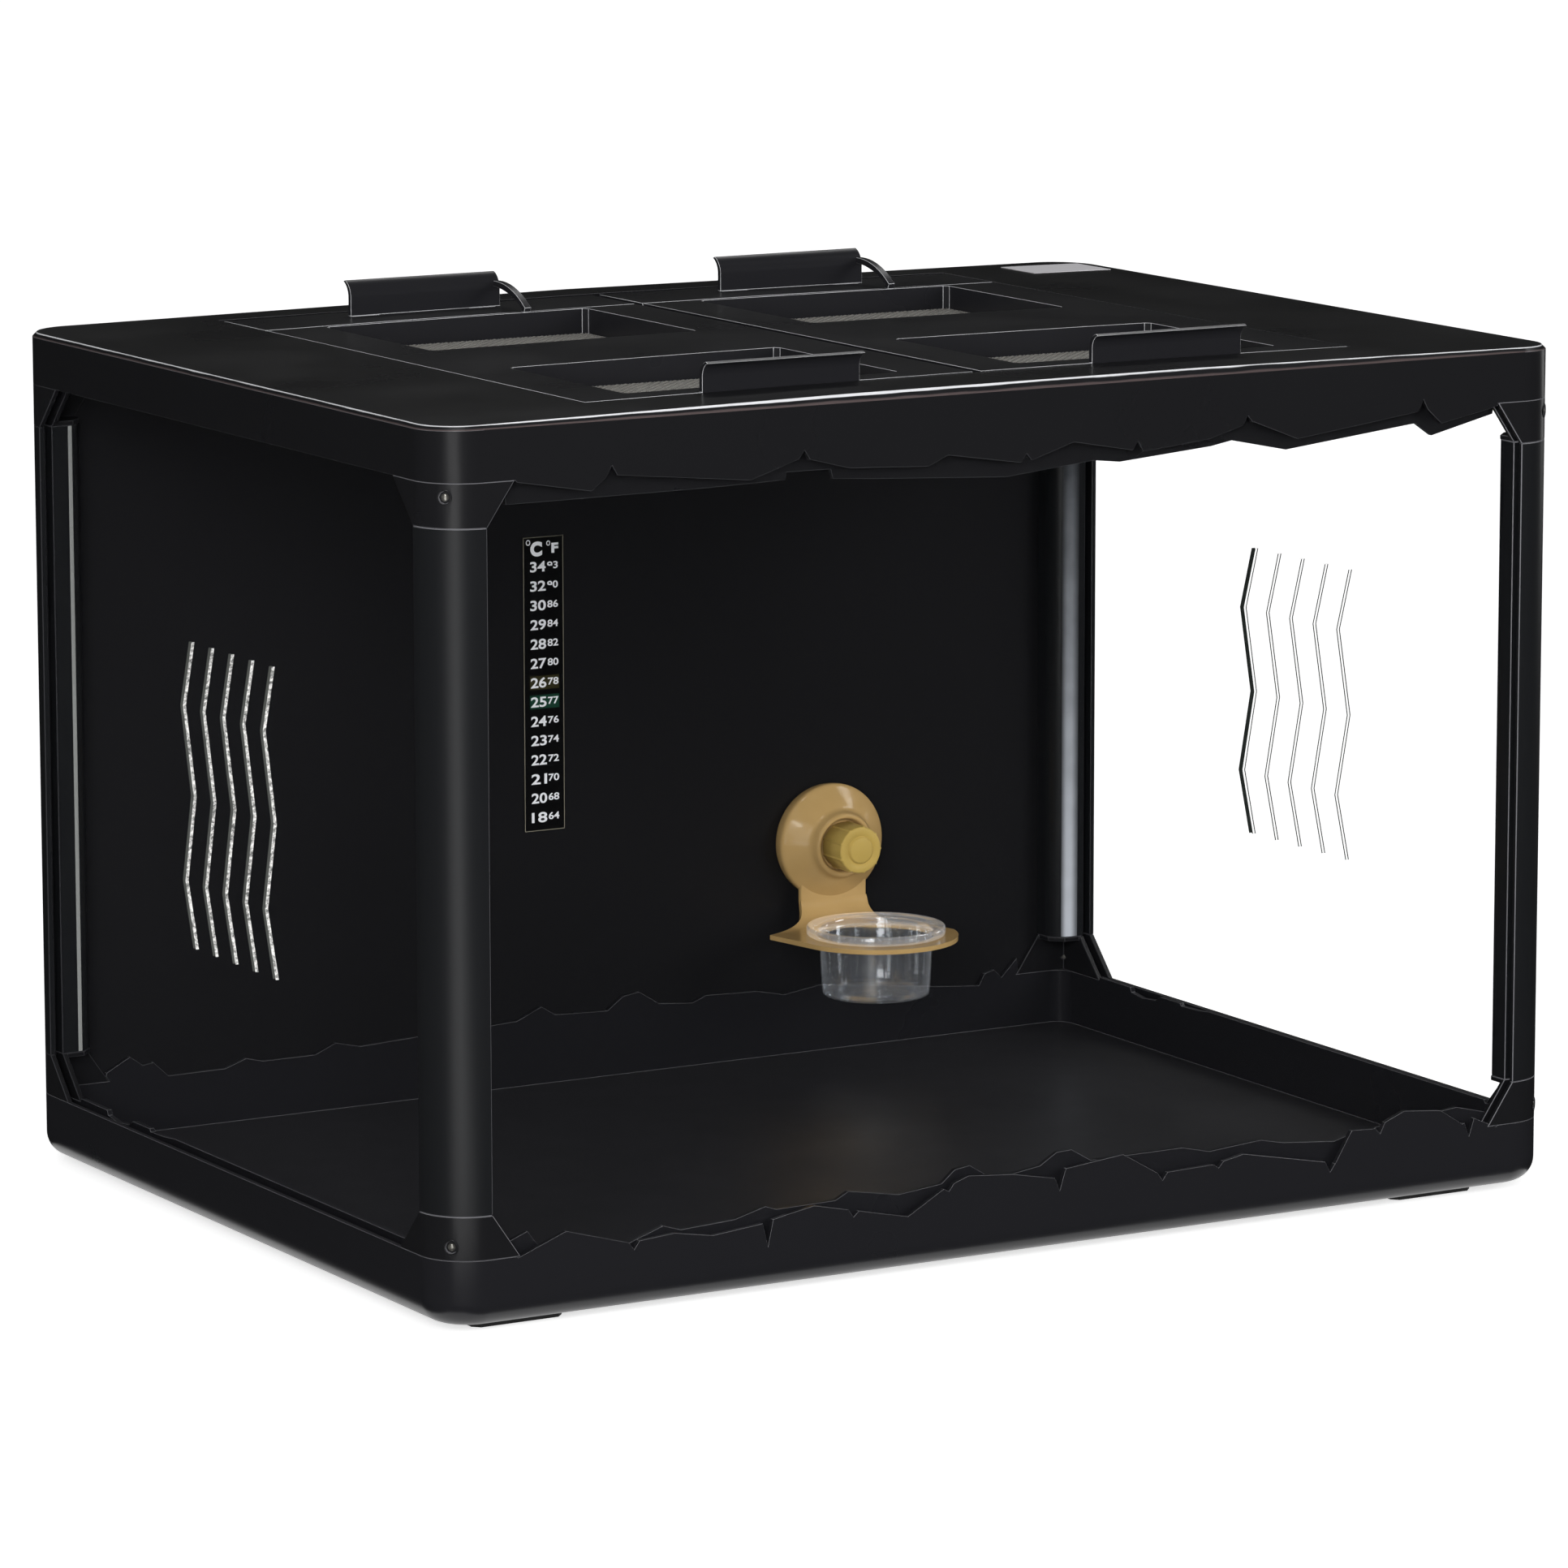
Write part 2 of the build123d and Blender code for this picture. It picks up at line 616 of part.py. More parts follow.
# Solid turned about the feeder's axis, from (radius, distance from the panel) points
def turned(points):
    outline = make_face(Polyline(points, close=True))
    plane = Plane(origin=(feeder_x, panel_face_y, feeder_z), x_dir=(1, 0, 0), z_dir=(0, 0, 1))
    return revolve(plane * mirror(outline, Plane.XZ), Axis((feeder_x, panel_face_y, feeder_z), (0, 1, 0)))


# Soft sucker disc with the stud that the knob turns on
def make_sucker():
    return turned([(0, 0), (sucker_radius, 0), (sucker_radius, sucker_rim), (stud_radius, sucker_rim),
                   (stud_radius, stud_reach), (0, stud_reach)])


# Distance of the collar's face from the panel
def collar_face():
    return sucker_rim + seat_gap + dome_depth


# Bracket in one piece: dome with a recessed collar, neck and ring-shaped ledge
def make_feeder_bracket():
    rim = sucker_rim + seat_gap
    face = collar_face()
    shoulder = face - collar_height
    floor = face - collar_recess
    recess = knob_radius + knob_play
    hole = stud_radius + seat_gap
    dome = turned([
        (dome_radius, rim), (collar_radius, shoulder), (collar_radius, face), (recess, face),
        (recess, floor), (hole, floor), (hole, rim)])
    back = panel_face_y - neck_reach
    half_neck = neck_width / 2
    root = half_neck + neck_root_reach
    root_top = ledge_z + neck_root_height
    ring_y = panel_face_y - cup_reach
    tip = ring_radius
    edges = Curve() + [
        Line((feeder_x - half_neck, feeder_z), (feeder_x - half_neck, root_top)),
        ThreePointArc((feeder_x - half_neck, root_top), (feeder_x - root, ledge_z + neck_root_rise),
                      (feeder_x - tip, ledge_z)),
        Polyline((feeder_x - tip, ledge_z), (feeder_x - tip, ledge_z - ring_thickness),
                 (feeder_x + tip, ledge_z - ring_thickness), (feeder_x + tip, ledge_z)),
        ThreePointArc((feeder_x + tip, ledge_z), (feeder_x + root, ledge_z + neck_root_rise),
                      (feeder_x + half_neck, root_top)),
        Line((feeder_x + half_neck, root_top), (feeder_x + half_neck, feeder_z)),
        Line((feeder_x + half_neck, feeder_z), (feeder_x - half_neck, feeder_z))]
    neck = extrude(Plane.XZ.offset(-back) * make_face(edges), neck_thickness)
    stud_room = turned([(0, 0), (hole, 0), (hole, face), (0, face)])
    plan = Circle(ring_radius) + Rectangle(2 * ring_radius, back - ring_y, align=(Align.CENTER, Align.MIN))
    plan -= Circle(cup_radius + cup_play)
    ring = Pos(feeder_x, ring_y, ledge_z - ring_thickness) * extrude(plan, ring_thickness)
    return dome + (neck - stud_room) + ring


# Lobed knob with a raised disc on its face
def make_knob():
    start = collar_face() - collar_recess + seat_gap
    plane = Plane(origin=(feeder_x, panel_face_y - start, feeder_z), x_dir=(1, 0, 0), z_dir=(0, -1, 0))
    points = []
    for i in range(knob_lobes):
        for share, inset in ((-0.32, 0), (0, 0), (0.32, 0), (0.5, knob_flute_depth)):
            turn = 2 * pi * (i + share) / knob_lobes
            points.append(((knob_radius - inset) * cos(turn), (knob_radius - inset) * sin(turn)))
    knob = plane * extrude(make_face(Polyline(points, close=True)), knob_length)
    knob += plane * Pos(0, 0, knob_length) * extrude(Circle(knob_boss_radius), 0.6)
    depth = stud_reach - start + 1.0
    return knob - plane * extrude(Circle(stud_radius + knob_bore_play), depth)


# Thin clear cup that hangs by its rim in the ledge's ring
def make_cup():
    top = cup_height
    low = top - cup_rim_height
    inside = cup_radius - cup_wall
    outline = make_face(Polyline([
        (0, 0), (cup_foot_radius, 0), (cup_radius, cup_foot_height), (cup_radius, low), (cup_rim_radius, low),
        (cup_rim_radius, top), (inside, top), (inside, cup_wall), (0, cup_wall)], close=True))
    ring_y = panel_face_y - cup_reach
    cup = revolve(Plane.XZ * outline, Axis.Z)
    return Pos(feeder_x, ring_y, ledge_z - low) * cup


# Flat stuck-on foot, given by the middle of its plan
def make_foot(x, y):
    plan = chamfer(Rectangle(foot_length, foot_width).vertices(), foot_corner)
    return Pos(x, y, -foot_height) * extrude(plan, foot_height)


# Blank sticker that follows the bow of the top
def make_sticker():
    x = half_length - sticker_side_inset
    y = half_depth - sticker_rear_inset
    return crowned_slab(x - sticker_length / 2, x + sticker_length / 2,
                        y - sticker_width / 2, y + sticker_width / 2, -sticker_thickness, 0)


# Every piece by its node's name
def make_pieces():
    post = make_post()
    bracket = make_bracket()
    screw = make_corner_screw()
    left_pane = make_left_pane()
    side_pin = make_side_pin()
    pieces = {
        "base_tray": make_tray(),
        "top_frame": make_top_frame(),
        "front_pane": make_front_pane(),
        "left_pane": left_pane,
        "right_pane": mirror(left_pane, Plane.YZ),
        "back_panel": make_back_panel(),
        "left_lid": make_lid(-1),
        "right_lid": make_lid(1),
        "left_hinge_pin": mirror(side_pin, Plane.YZ),
        "middle_hinge_pin": make_middle_pin(),
        "right_hinge_pin": side_pin,
        "thermometer_strip": make_strip(),
        "feeder_sucker": make_sucker(),
        "feeder_bracket": make_feeder_bracket(),
        "feeder_knob": make_knob(),
        "food_cup": make_cup(),
        "blank_sticker": make_sticker()}
    for name, ways in CORNERS.items():
        pieces["post_" + name] = place_corner(post, *ways)
        pieces["bottom_bracket_" + name] = place_corner(at_bottom(bracket), *ways)
        pieces["top_bracket_" + name] = place_corner(at_top(bracket), *ways)
        foot_x = left_foot_inset - half_length if ways[0] > 0 else half_length - right_foot_inset
        pieces["foot_" + name] = make_foot(foot_x, ways[1] * (foot_inset - half_depth))
    for side, way in (("left", -1), ("right", 1)):
        pieces["mesh_" + side + "_front"] = make_mesh(way, front_window_y)
        pieces["mesh_" + side + "_rear"] = make_mesh(way, rear_window_y)
    pieces["bottom_screws"] = Compound([place_corner(at_bottom(screw), *w) for w in CORNERS.values()])
    pieces["top_screws"] = Compound([place_corner(at_top(screw), *w) for w in CORNERS.values()])
    return pieces


os.makedirs("parts", exist_ok=True)
for node, piece in make_pieces().items():
    export_step(Pos(0, 0, foot_height) * piece, "parts/" + node + ".step")
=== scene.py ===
import json
import math
import bmesh
import bpy
import numpy as np
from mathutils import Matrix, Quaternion, Vector


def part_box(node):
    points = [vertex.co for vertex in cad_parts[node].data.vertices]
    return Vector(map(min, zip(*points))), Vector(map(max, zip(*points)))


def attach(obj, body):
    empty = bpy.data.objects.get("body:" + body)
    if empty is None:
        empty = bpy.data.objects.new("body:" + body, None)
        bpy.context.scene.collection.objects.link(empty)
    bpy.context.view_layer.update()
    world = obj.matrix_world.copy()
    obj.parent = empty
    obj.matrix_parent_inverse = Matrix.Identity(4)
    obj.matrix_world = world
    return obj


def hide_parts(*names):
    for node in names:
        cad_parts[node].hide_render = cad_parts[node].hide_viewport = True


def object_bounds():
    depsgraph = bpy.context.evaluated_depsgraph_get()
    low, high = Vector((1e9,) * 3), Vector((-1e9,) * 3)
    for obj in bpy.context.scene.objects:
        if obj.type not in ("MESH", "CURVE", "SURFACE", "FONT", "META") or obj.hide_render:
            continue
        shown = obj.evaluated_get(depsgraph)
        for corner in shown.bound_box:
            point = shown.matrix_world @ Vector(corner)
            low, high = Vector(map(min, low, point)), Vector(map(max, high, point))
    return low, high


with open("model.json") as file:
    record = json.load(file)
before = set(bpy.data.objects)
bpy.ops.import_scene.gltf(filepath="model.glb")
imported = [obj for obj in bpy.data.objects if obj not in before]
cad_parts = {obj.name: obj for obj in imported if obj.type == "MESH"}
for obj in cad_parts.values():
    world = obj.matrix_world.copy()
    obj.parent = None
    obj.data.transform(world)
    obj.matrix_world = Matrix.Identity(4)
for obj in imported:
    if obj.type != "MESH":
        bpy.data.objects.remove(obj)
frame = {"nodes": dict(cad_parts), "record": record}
cad_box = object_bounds()
scene = bpy.context.scene

# Camera: a long lens, well back and a little above the top, turned 30 degrees to the left of
# the front, so that the front, the left side and a sliver of the bowed top all show.
look_at = Vector((-0.0071, -0.0124, 0.1682))
turned, raised, rolled = math.radians(30.1), math.radians(10.0), math.radians(-0.09)
camera_away, focal_mm = 3.255, 180.0
towards_camera = Vector((-math.sin(turned) * math.cos(raised), -math.cos(turned) * math.cos(raised),
                         math.sin(raised)))
camera_data = bpy.data.cameras.new("camera")
camera_data.lens = focal_mm
camera = bpy.data.objects.new("camera", camera_data)
scene.collection.objects.link(camera)
camera.rotation_mode = "QUATERNION"
camera.location = look_at + towards_camera * camera_away
camera.rotation_quaternion = (-towards_camera).to_track_quat("-Z", "Y") @ Quaternion((0, 0, 1), rolled)
scene.camera = camera
scene.view_settings.view_transform = "Standard"

# Paper: a pale seamless floor with a fine fibre, about 1.1 mm long, as a noise scale is a count
# per metre. It reads white to the eye and in gloss, and still takes the object's soft shadow.
floor_white, floor_glow, reach = "#ececec", 0.66, 30.0


def linear(code):
    """Linear colour of an sRGB hex code: c/12.92 below 0.04045, else ((c + 0.055)/1.055)^2.4."""
    parts = [int(code[i:i + 2], 16) / 255 for i in (1, 3, 5)]
    return tuple(p / 12.92 if p <= 0.04045 else ((p + 0.055) / 1.055) ** 2.4 for p in parts) + (1.0,)


def add(material, kind, settings=None, **links):
    """Adds a shader node, sets its properties and sockets, and links the sockets named in links."""
    made = material.node_tree.nodes.new(kind)
    for key, value in (settings or {}).items():
        if isinstance(key, str) and hasattr(made, key):
            setattr(made, key, value)
        else:
            made.inputs[key].default_value = value
    for key, output in links.items():
        number = key[0] == "i" and key[1:].isdigit()
        socket = made.inputs[int(key[1:])] if number else made.inputs[key.replace("_", " ")]
        material.node_tree.links.new(output, socket)
    return made


def seen_directly(material):
    """Factor of 1 for the rays of the camera, of gloss and of transmission, and 0 for all others."""
    path = add(material, "ShaderNodeLightPath").outputs
    either = add(material, "ShaderNodeMath", {"operation": "MAXIMUM"}, i0=path["Is Camera Ray"],
                 i1=path["Is Glossy Ray"])
    return add(material, "ShaderNodeMath", {"operation": "MAXIMUM"}, i0=either.outputs[0],
               i1=path["Is Transmission Ray"]).outputs[0]


def new_material(name):
    """Empty node material and its output node."""
    material = bpy.data.materials.new(name)
    material.use_nodes = True
    material.node_tree.nodes.clear()
    return material, add(material, "ShaderNodeOutputMaterial")


def finish(material, out, shader):
    """Links the last shader to the output and gives the material back."""
    material.node_tree.links.new(shader.outputs[0], out.inputs["Surface"])
    return material


paper, paper_out = new_material("seamless_paper")
glow = add(paper, "ShaderNodeMath", {"operation": "MULTIPLY", 1: floor_glow}, i0=seen_directly(paper))
fibre = add(paper, "ShaderNodeTexNoise", {"Scale": 900.0, "Detail": 3.0})
rough = add(paper, "ShaderNodeMapRange", {"To Min": 0.7, "To Max": 0.85}, Value=fibre.outputs["Fac"])
skin = add(paper, "ShaderNodeBsdfPrincipled",
           {"Base Color": linear(floor_white), "Specular IOR Level": 0.2}, Roughness=rough.outputs[0])
lamp = add(paper, "ShaderNodeEmission", {"Color": (1, 1, 1, 1)}, Strength=glow.outputs[0])
finish(paper, paper_out, add(paper, "ShaderNodeAddShader", {}, i0=skin.outputs[0], i1=lamp.outputs[0]))


def sheet_mesh(name, corners, material):
    """Flat four-cornered sheet through the given corners, in order."""
    mesh = bpy.data.meshes.new(name)
    mesh.from_pydata([tuple(c) for c in corners], [], [(0, 1, 2, 3)])
    mesh.materials.append(material)
    made = bpy.data.objects.new(name, mesh)
    scene.collection.objects.link(made)
    return made


sheet_mesh("floor", [(-reach, -reach, 0), (reach, -reach, 0), (reach, reach, 0), (-reach, reach, 0)],
                    paper)

# Flags: black velvet round the object, which only gloss sees. A ring lies on the floor from just
# outside the tray, and a wall with a roof stands round it. Both are open towards the camera's
# left, and that opening is the soft light line down the corners.
velvet, velvet_out = new_material("black_velvet")
pile = add(velvet, "ShaderNodeTexNoise", {"Scale": 400.0})
nap = add(velvet, "ShaderNodeMapRange", {"To Min": 0.012, "To Max": 0.024}, Value=pile.outputs["Fac"])
finish(velvet, velvet_out, add(velvet, "ShaderNodeBsdfDiffuse", {"Roughness": 1.0}, Color=nap.outputs[0]))
opening_from, opening_to = math.radians(215.0), math.radians(237.0)
flag_gap, flag_lift, flag_foot = 0.003, 0.0006, 0.43
flag_radius, flag_wall, flag_roof = 2.2, 2.6, 3.0


def grid_faces(rows, columns, rows_closed=False, columns_closed=False):
    """Quads of a grid of rows x columns points, row by row; a closed side joins its end to its start."""
    index = np.arange(rows * columns).reshape(rows, columns)
    if rows_closed:
        index = np.vstack([index, index[:1]])
    if columns_closed:
        index = np.hstack([index, index[:, :1]])
    quads = [index[:-1, :-1], index[:-1, 1:], index[1:, 1:], index[1:, :-1]]
    return np.stack(quads, axis=-1).reshape(-1, 4)


def stage_grid(name, points, material):
    """Open grid of points, row by row, that only gloss sees."""
    mesh = bpy.data.meshes.new(name)
    mesh.from_pydata(points.reshape(-1, 3).tolist(), [], grid_faces(*points.shape[:2]).tolist())
    mesh.materials.append(material)
    made = bpy.data.objects.new(name, mesh)
    scene.collection.objects.link(made)
    made.visible_camera = made.visible_diffuse = made.visible_shadow = made.visible_transmission = False
    return made


def floor_flag(name, turn, outer_radius):
    """Flag over the floor from just outside the tray to a radius, over the angles given. The tray's
    outline at an angle t is min(half_x/|cos t|, half_y/|sin t|) from the middle."""
    half_x, half_y = cad_box[1][0] + flag_gap, cad_box[1][1] + flag_gap
    near = np.minimum(half_x / np.maximum(np.abs(np.cos(turn)), 1e-6),
                      half_y / np.maximum(np.abs(np.sin(turn)), 1e-6))
    radius = np.stack([near, np.full(len(turn), outer_radius)])
    level = np.full(radius.shape, flag_lift)
    stage_grid(name, np.stack([radius * np.cos(turn), radius * np.sin(turn), level], axis=-1), velvet)


around = np.linspace(opening_to, opening_from + 2 * np.pi, 150)
floor_flag("flag_on_floor", around, flag_radius)
floor_flag("flag_by_tray", np.linspace(opening_from, opening_to, 12), flag_foot)
radius, height = np.array([(flag_radius, 0.0), (flag_radius, flag_wall), (flag_radius / 2, flag_roof),
                           (0.0, flag_roof)]).T[..., None]
wall = [radius * np.cos(around), radius * np.sin(around), np.broadcast_to(height, (len(height), len(around)))]
stage_grid("flag_wall", np.stack(wall, axis=-1), velvet)

# Light: a white surround and two soft lamps, low enough to reach in through the clear front. Five
# glowing panels that only gloss sees draw the bright lines along the edges, and the streaks and
# the spark on the feeder's dome.
world = bpy.data.worlds.new("studio")
world.use_nodes = True
world.node_tree.nodes.clear()
scene.world = world
level = add(world, "ShaderNodeMapRange", {"To Min": 0.45, "To Max": 1.0}, Value=seen_directly(world))
sky = add(world, "ShaderNodeBackground", {"Color": (1, 1, 1, 1)}, Strength=level.outputs[0])
add(world, "ShaderNodeOutputWorld", {}, Surface=sky.outputs[0])
object_middle, panel_target = (0, 0, 0.17), (0, 0, 0.3)


def softbox(name, place, size, power):
    """Square area lamp that faces the middle of the object and that gloss doesn't see."""
    data = bpy.data.lights.new(name, "AREA")
    data.size = size
    data.energy = power
    made = bpy.data.objects.new(name, data)
    made.location = place
    made.rotation_mode = "QUATERNION"
    made.rotation_quaternion = (Vector(object_middle) - Vector(place)).to_track_quat("-Z", "Y")
    made.visible_glossy = False
    scene.collection.objects.link(made)


softbox("key_lamp", (-1.75, -2.35, 1.05), size=1.3, power=62.0)
softbox("fill_lamp", (1.7, -2.3, 0.95), size=1.2, power=30.0)


def glow_panel(name, turn, height, distance, width, tall, strength):
    """Glowing panel for gloss alone, at an angle round the object and tilted to face it. Its corners
    lie at middle ± width/2·side ± tall/2·rise."""
    material, out = new_material(name)
    finish(material, out, add(material, "ShaderNodeEmission", {"Color": (1, 1, 1, 1), "Strength": strength}))
    out_way = np.array([math.cos(turn), math.sin(turn), 0.0])
    side = np.array([-math.sin(turn), math.cos(turn), 0.0])
    middle = distance * out_way + np.array([0, 0, height])
    facing = middle - np.array(panel_target)
    facing /= np.linalg.norm(facing)
    rise = np.cross(side, -facing)
    s, t = np.meshgrid([-width / 2, width / 2], [-tall / 2, tall / 2])
    stage_grid(name, middle + s[..., None] * side + t[..., None] * rise, material)


glow_panel("rim_light", math.radians(62.0), height=2.1, distance=1.7, width=2.4, tall=0.5, strength=3.0)
glow_panel("corner_light", math.radians(225.0), height=1.9, distance=1.0, width=0.5, tall=0.6, strength=9.0)
glow_panel("dome_streak_light", math.radians(-14.5), height=1.35, distance=1.5, width=0.28, tall=0.6,
           strength=4.0)
glow_panel("dome_side_light", math.radians(9.0), height=0.28, distance=1.6, width=0.35, tall=0.36,
           strength=1.2)
glow_panel("dome_spark_light", math.radians(232.0), height=1.0, distance=2.1, width=0.12, tall=0.12,
           strength=22.0)

# Tray: injection-moulded black ABS, with a gloss that breaks up a little in the fine moulded
# grain. The solid gives its shape. Its edges are a little rounded, and the rounding is painted
# light grey as a highlight line. Its floor is painted a lighter grey, and its black a little
# lighter than the brackets' black, as painted light for the inside, which the lamps light poorly.
bodies = frame["record"]["behaviour"]["bodies"]
body_of = {node: body for body, nodes in bodies.items() for node in nodes}
slot_of = {part["node"]: part["material_slot"] for part in frame["record"]["subparts"]}
CORNERS = ("front_left", "front_right", "rear_left", "rear_right")


def moulded(name, colour, rough_range, grain, depth, shine=0.5):
    """Plain plastic: roughness that changes in clouds about 70 mm wide, and a fine grain as bump,
    with its size in mm and its depth in metres."""
    material, out = new_material(name)
    place = add(material, "ShaderNodeTexCoord").outputs["Object"]
    cloud = add(material, "ShaderNodeTexNoise", {"Scale": 14.0, "Detail": 4.0}, Vector=place)
    rough = add(material, "ShaderNodeMapRange",
                {"From Min": 0.3, "From Max": 0.7, "To Min": rough_range[0], "To Max": rough_range[1]},
                Value=cloud.outputs["Fac"])
    fine = add(material, "ShaderNodeTexNoise", {"Scale": 1000.0 / grain, "Detail": 2.0}, Vector=place)
    bump = add(material, "ShaderNodeBump", {"Strength": 0.12, "Distance": depth}, Height=fine.outputs["Fac"])
    shader = add(material, "ShaderNodeBsdfPrincipled",
                 {"Base Color": linear(colour), "IOR": 1.5, "Specular IOR Level": shine},
                 Roughness=rough.outputs[0], Normal=bump.outputs[0])
    return finish(material, out, shader)


def round_edges(made, width, steps=2, crease=35.0, line=None):
    """Rounds each edge over the crease angle; the new faces take the line material if one is given."""
    bevel = made.modifiers.new("rounded_edges", "BEVEL")
    bevel.width = width
    bevel.segments = steps
    bevel.limit_method = "ANGLE"
    bevel.angle_limit = math.radians(crease)
    bevel.use_clamp_overlap = True
    bevel.harden_normals = True
    if line:
        made.data.materials.append(line)
        bevel.material = len(made.data.materials) - 1
    made.modifiers.new("even_shading", "WEIGHTED_NORMAL").keep_sharp = True


def dressed_copy(node, material, width, steps=2, crease=35.0, line=None):
    """Merged copy of a CAD node that stands for it, with each edge over the crease angle rounded."""
    mesh = frame["nodes"][node].data.copy()
    mesh.name = "dressed_" + node
    work = bmesh.new()
    work.from_mesh(mesh)
    bmesh.ops.remove_doubles(work, verts=work.verts, dist=2e-6)
    bmesh.ops.dissolve_limit(work, angle_limit=math.radians(0.6), verts=work.verts, edges=work.edges)
    work.to_mesh(mesh)
    work.free()
    mesh.materials.clear()
    mesh.materials.append(material)
    mesh.shade_smooth()
    mesh.set_sharp_from_angle(angle=math.radians(crease))
    made = bpy.data.objects.new("dressed_" + node, mesh)
    scene.collection.objects.link(made)
    if width:
        round_edges(made, width, steps, crease, line)
    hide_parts(node)
    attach(made, body_of[node])
    return made


# Painted light: this black is a little lighter than the brackets' black.
tray_moulding = moulded("black_abs_tray", "#1c1c1f", (0.26, 0.34), 0.35, 0.00004, 0.4)
# Painted highlight: the light grey of the tray's rounded edges.
tray_edge = moulded("painted_highlight_tray_edge", "#8c8c90", (0.25, 0.35), 0.5, 0.00002)
tray_edge_width, lowest_floor, highest_floor = 0.00035, 0.005, 0.033
tray = dressed_copy("base_tray", tray_moulding, tray_edge_width, 1, line=tray_edge).data
# Painted light: the lighter grey of the floor faces.
tray.materials.append(moulded("painted_light_tray_floor", "#303033", (0.35, 0.45), 0.35, 0.00004, 0.4))
for face in tray.polygons:
    if face.normal.z > 0.9 and lowest_floor < face.center.z < highest_floor:
        face.material_index = 2

# Lids: two bowed lids moulded in the same ABS, cleaner and a little lighter than the tray, each
# hung on a steel pin at the back. Their rounded edges are painted near white as a highlight line.
lid_moulding = moulded("black_abs_lid", "#202023", (0.26, 0.34), 0.35, 0.00004, 0.4)
# Painted highlight: the near white of the lids' rounded edges.
bright_edge = moulded("painted_highlight_lid_edge", "#dcdde0", (0.2, 0.3), 0.5, 0.00002)
lid_edge_width = 0.0004
for node in ("left_lid", "right_lid"):
    dressed_copy(node, lid_moulding, lid_edge_width, 1, line=bright_edge)

# Corner brackets: eight flared corners of the same ABS, blacker, screwed on over the ends of the
# posts at the tray and at the top frame. Their rounded edges are painted grey as a highlight line
# at the front, and a darker grey as shade at the back.
moulding = moulded("black_abs_moulding", "#171719", (0.26, 0.34), 0.35, 0.00004, 0.4)
# Painted highlight and painted shade: the edge greys, lighter at the front and darker at the back; the top
# frame and the posts use them too.
edge_highlight_paint = moulded("painted_highlight_abs_edge", "#6c6c70", (0.25, 0.35), 0.5, 0.00002)
edge_shade_paint = moulded("painted_shade_abs_edge", "#343437", (0.25, 0.35), 0.5, 0.00002)
edge_width = 0.0003
for corner in CORNERS:
    edge = edge_highlight_paint if "front" in corner else edge_shade_paint
    dressed_copy("bottom_bracket_" + corner, moulding, edge_width, 1, line=edge)
    dressed_copy("top_bracket_" + corner, moulding, edge_width, 1, line=edge)

# Top frame: the same moulding, with a 2 mm chamfer round its rim, and its other rounded edges take
# the painted edge highlight. A bright line is painted all round along the chamfer's upper edge as
# a highlight, and a brownish line along its lower edge. V of the rim's own UV is the distance in
# from the frame's outline over the chamfer's width, and both lines wander along it in lengths of
# about 17 mm.
rim_radius, rim_width, rim_lowest = 0.020, 0.002, 0.336
# Painted highlight: the bright line on the chamfer's upper edge; a brownish line lies along its lower edge.
rim, rim_out = new_material("painted_highlight_abs_rim")
place = add(rim, "ShaderNodeTexCoord").outputs["Object"]
inset_map = add(rim, "ShaderNodeUVMap", {"uv_map": "rim_inset"})
across = add(rim, "ShaderNodeSeparateXYZ", {}, Vector=inset_map.outputs["UV"])
line_wander = add(rim, "ShaderNodeTexNoise", {"Scale": 60.0, "Detail": 3.0}, Vector=place)
shift = add(rim, "ShaderNodeMapRange", {"To Min": -0.12, "To Max": 0.12}, Value=line_wander.outputs["Fac"])
wandered_inset = add(rim, "ShaderNodeMath", {"operation": "ADD"}, i0=across.outputs["Y"], i1=shift.outputs[0])
upper_edge = add(rim, "ShaderNodeMapRange", {"From Min": 0.66, "From Max": 0.78}, Value=wandered_inset.outputs[0])
lower_edge = add(rim, "ShaderNodeMapRange", {"From Min": 0.30, "From Max": 0.16}, Value=wandered_inset.outputs[0])
low_tone = add(rim, "ShaderNodeMix", {"data_type": "RGBA", 6: linear("#1a1a1c"), 7: linear("#4a4040")},
               Factor=lower_edge.outputs[0])
tone = add(rim, "ShaderNodeMix", {"data_type": "RGBA", 7: linear("#d4d5d8")}, Factor=upper_edge.outputs[0],
           i6=low_tone.outputs[2])
finish(rim, rim_out, add(rim, "ShaderNodeBsdfPrincipled", {"Roughness": 0.3, "Specular IOR Level": 0.4},
                         Base_Color=tone.outputs[2]))


def inset_of(points, half_x, half_y, radius):
    """Distance in from the outline of a box with round corners. With q = |p| - (half - radius), it
    is radius - |max(q, 0)| - min(max(q_x, q_y), 0)."""
    q = np.abs(points) - (half_x - radius, half_y - radius)
    return radius - np.hypot(*np.maximum(q, 0).T) - np.minimum(q.max(axis=1), 0)


# Its other rounded edges take the painted edge highlight.
top_frame = dressed_copy("top_frame", moulding, edge_width, 1, line=edge_highlight_paint).data
top_frame.materials.append(rim)
spots = np.empty(len(top_frame.vertices) * 3)
top_frame.vertices.foreach_get("co", spots)
inset = inset_of(spots.reshape(-1, 3)[:, :2], cad_box[1][0], cad_box[1][1], rim_radius)
corner_of = np.empty(len(top_frame.loops), np.int32)
top_frame.loops.foreach_get("vertex_index", corner_of)
rim_uv = np.column_stack([np.zeros(len(corner_of)), inset[corner_of] / rim_width])
top_frame.uv_layers.new(name="rim_inset").data.foreach_set("uv", rim_uv.ravel())
for face in top_frame.polygons:
    on_chamfer = 0.3 < face.normal.z < 0.92 and face.center.z > rim_lowest
    if on_chamfer and max(inset[i] for i in face.vertices) < 1.5 * rim_width:
        face.material_index = 2
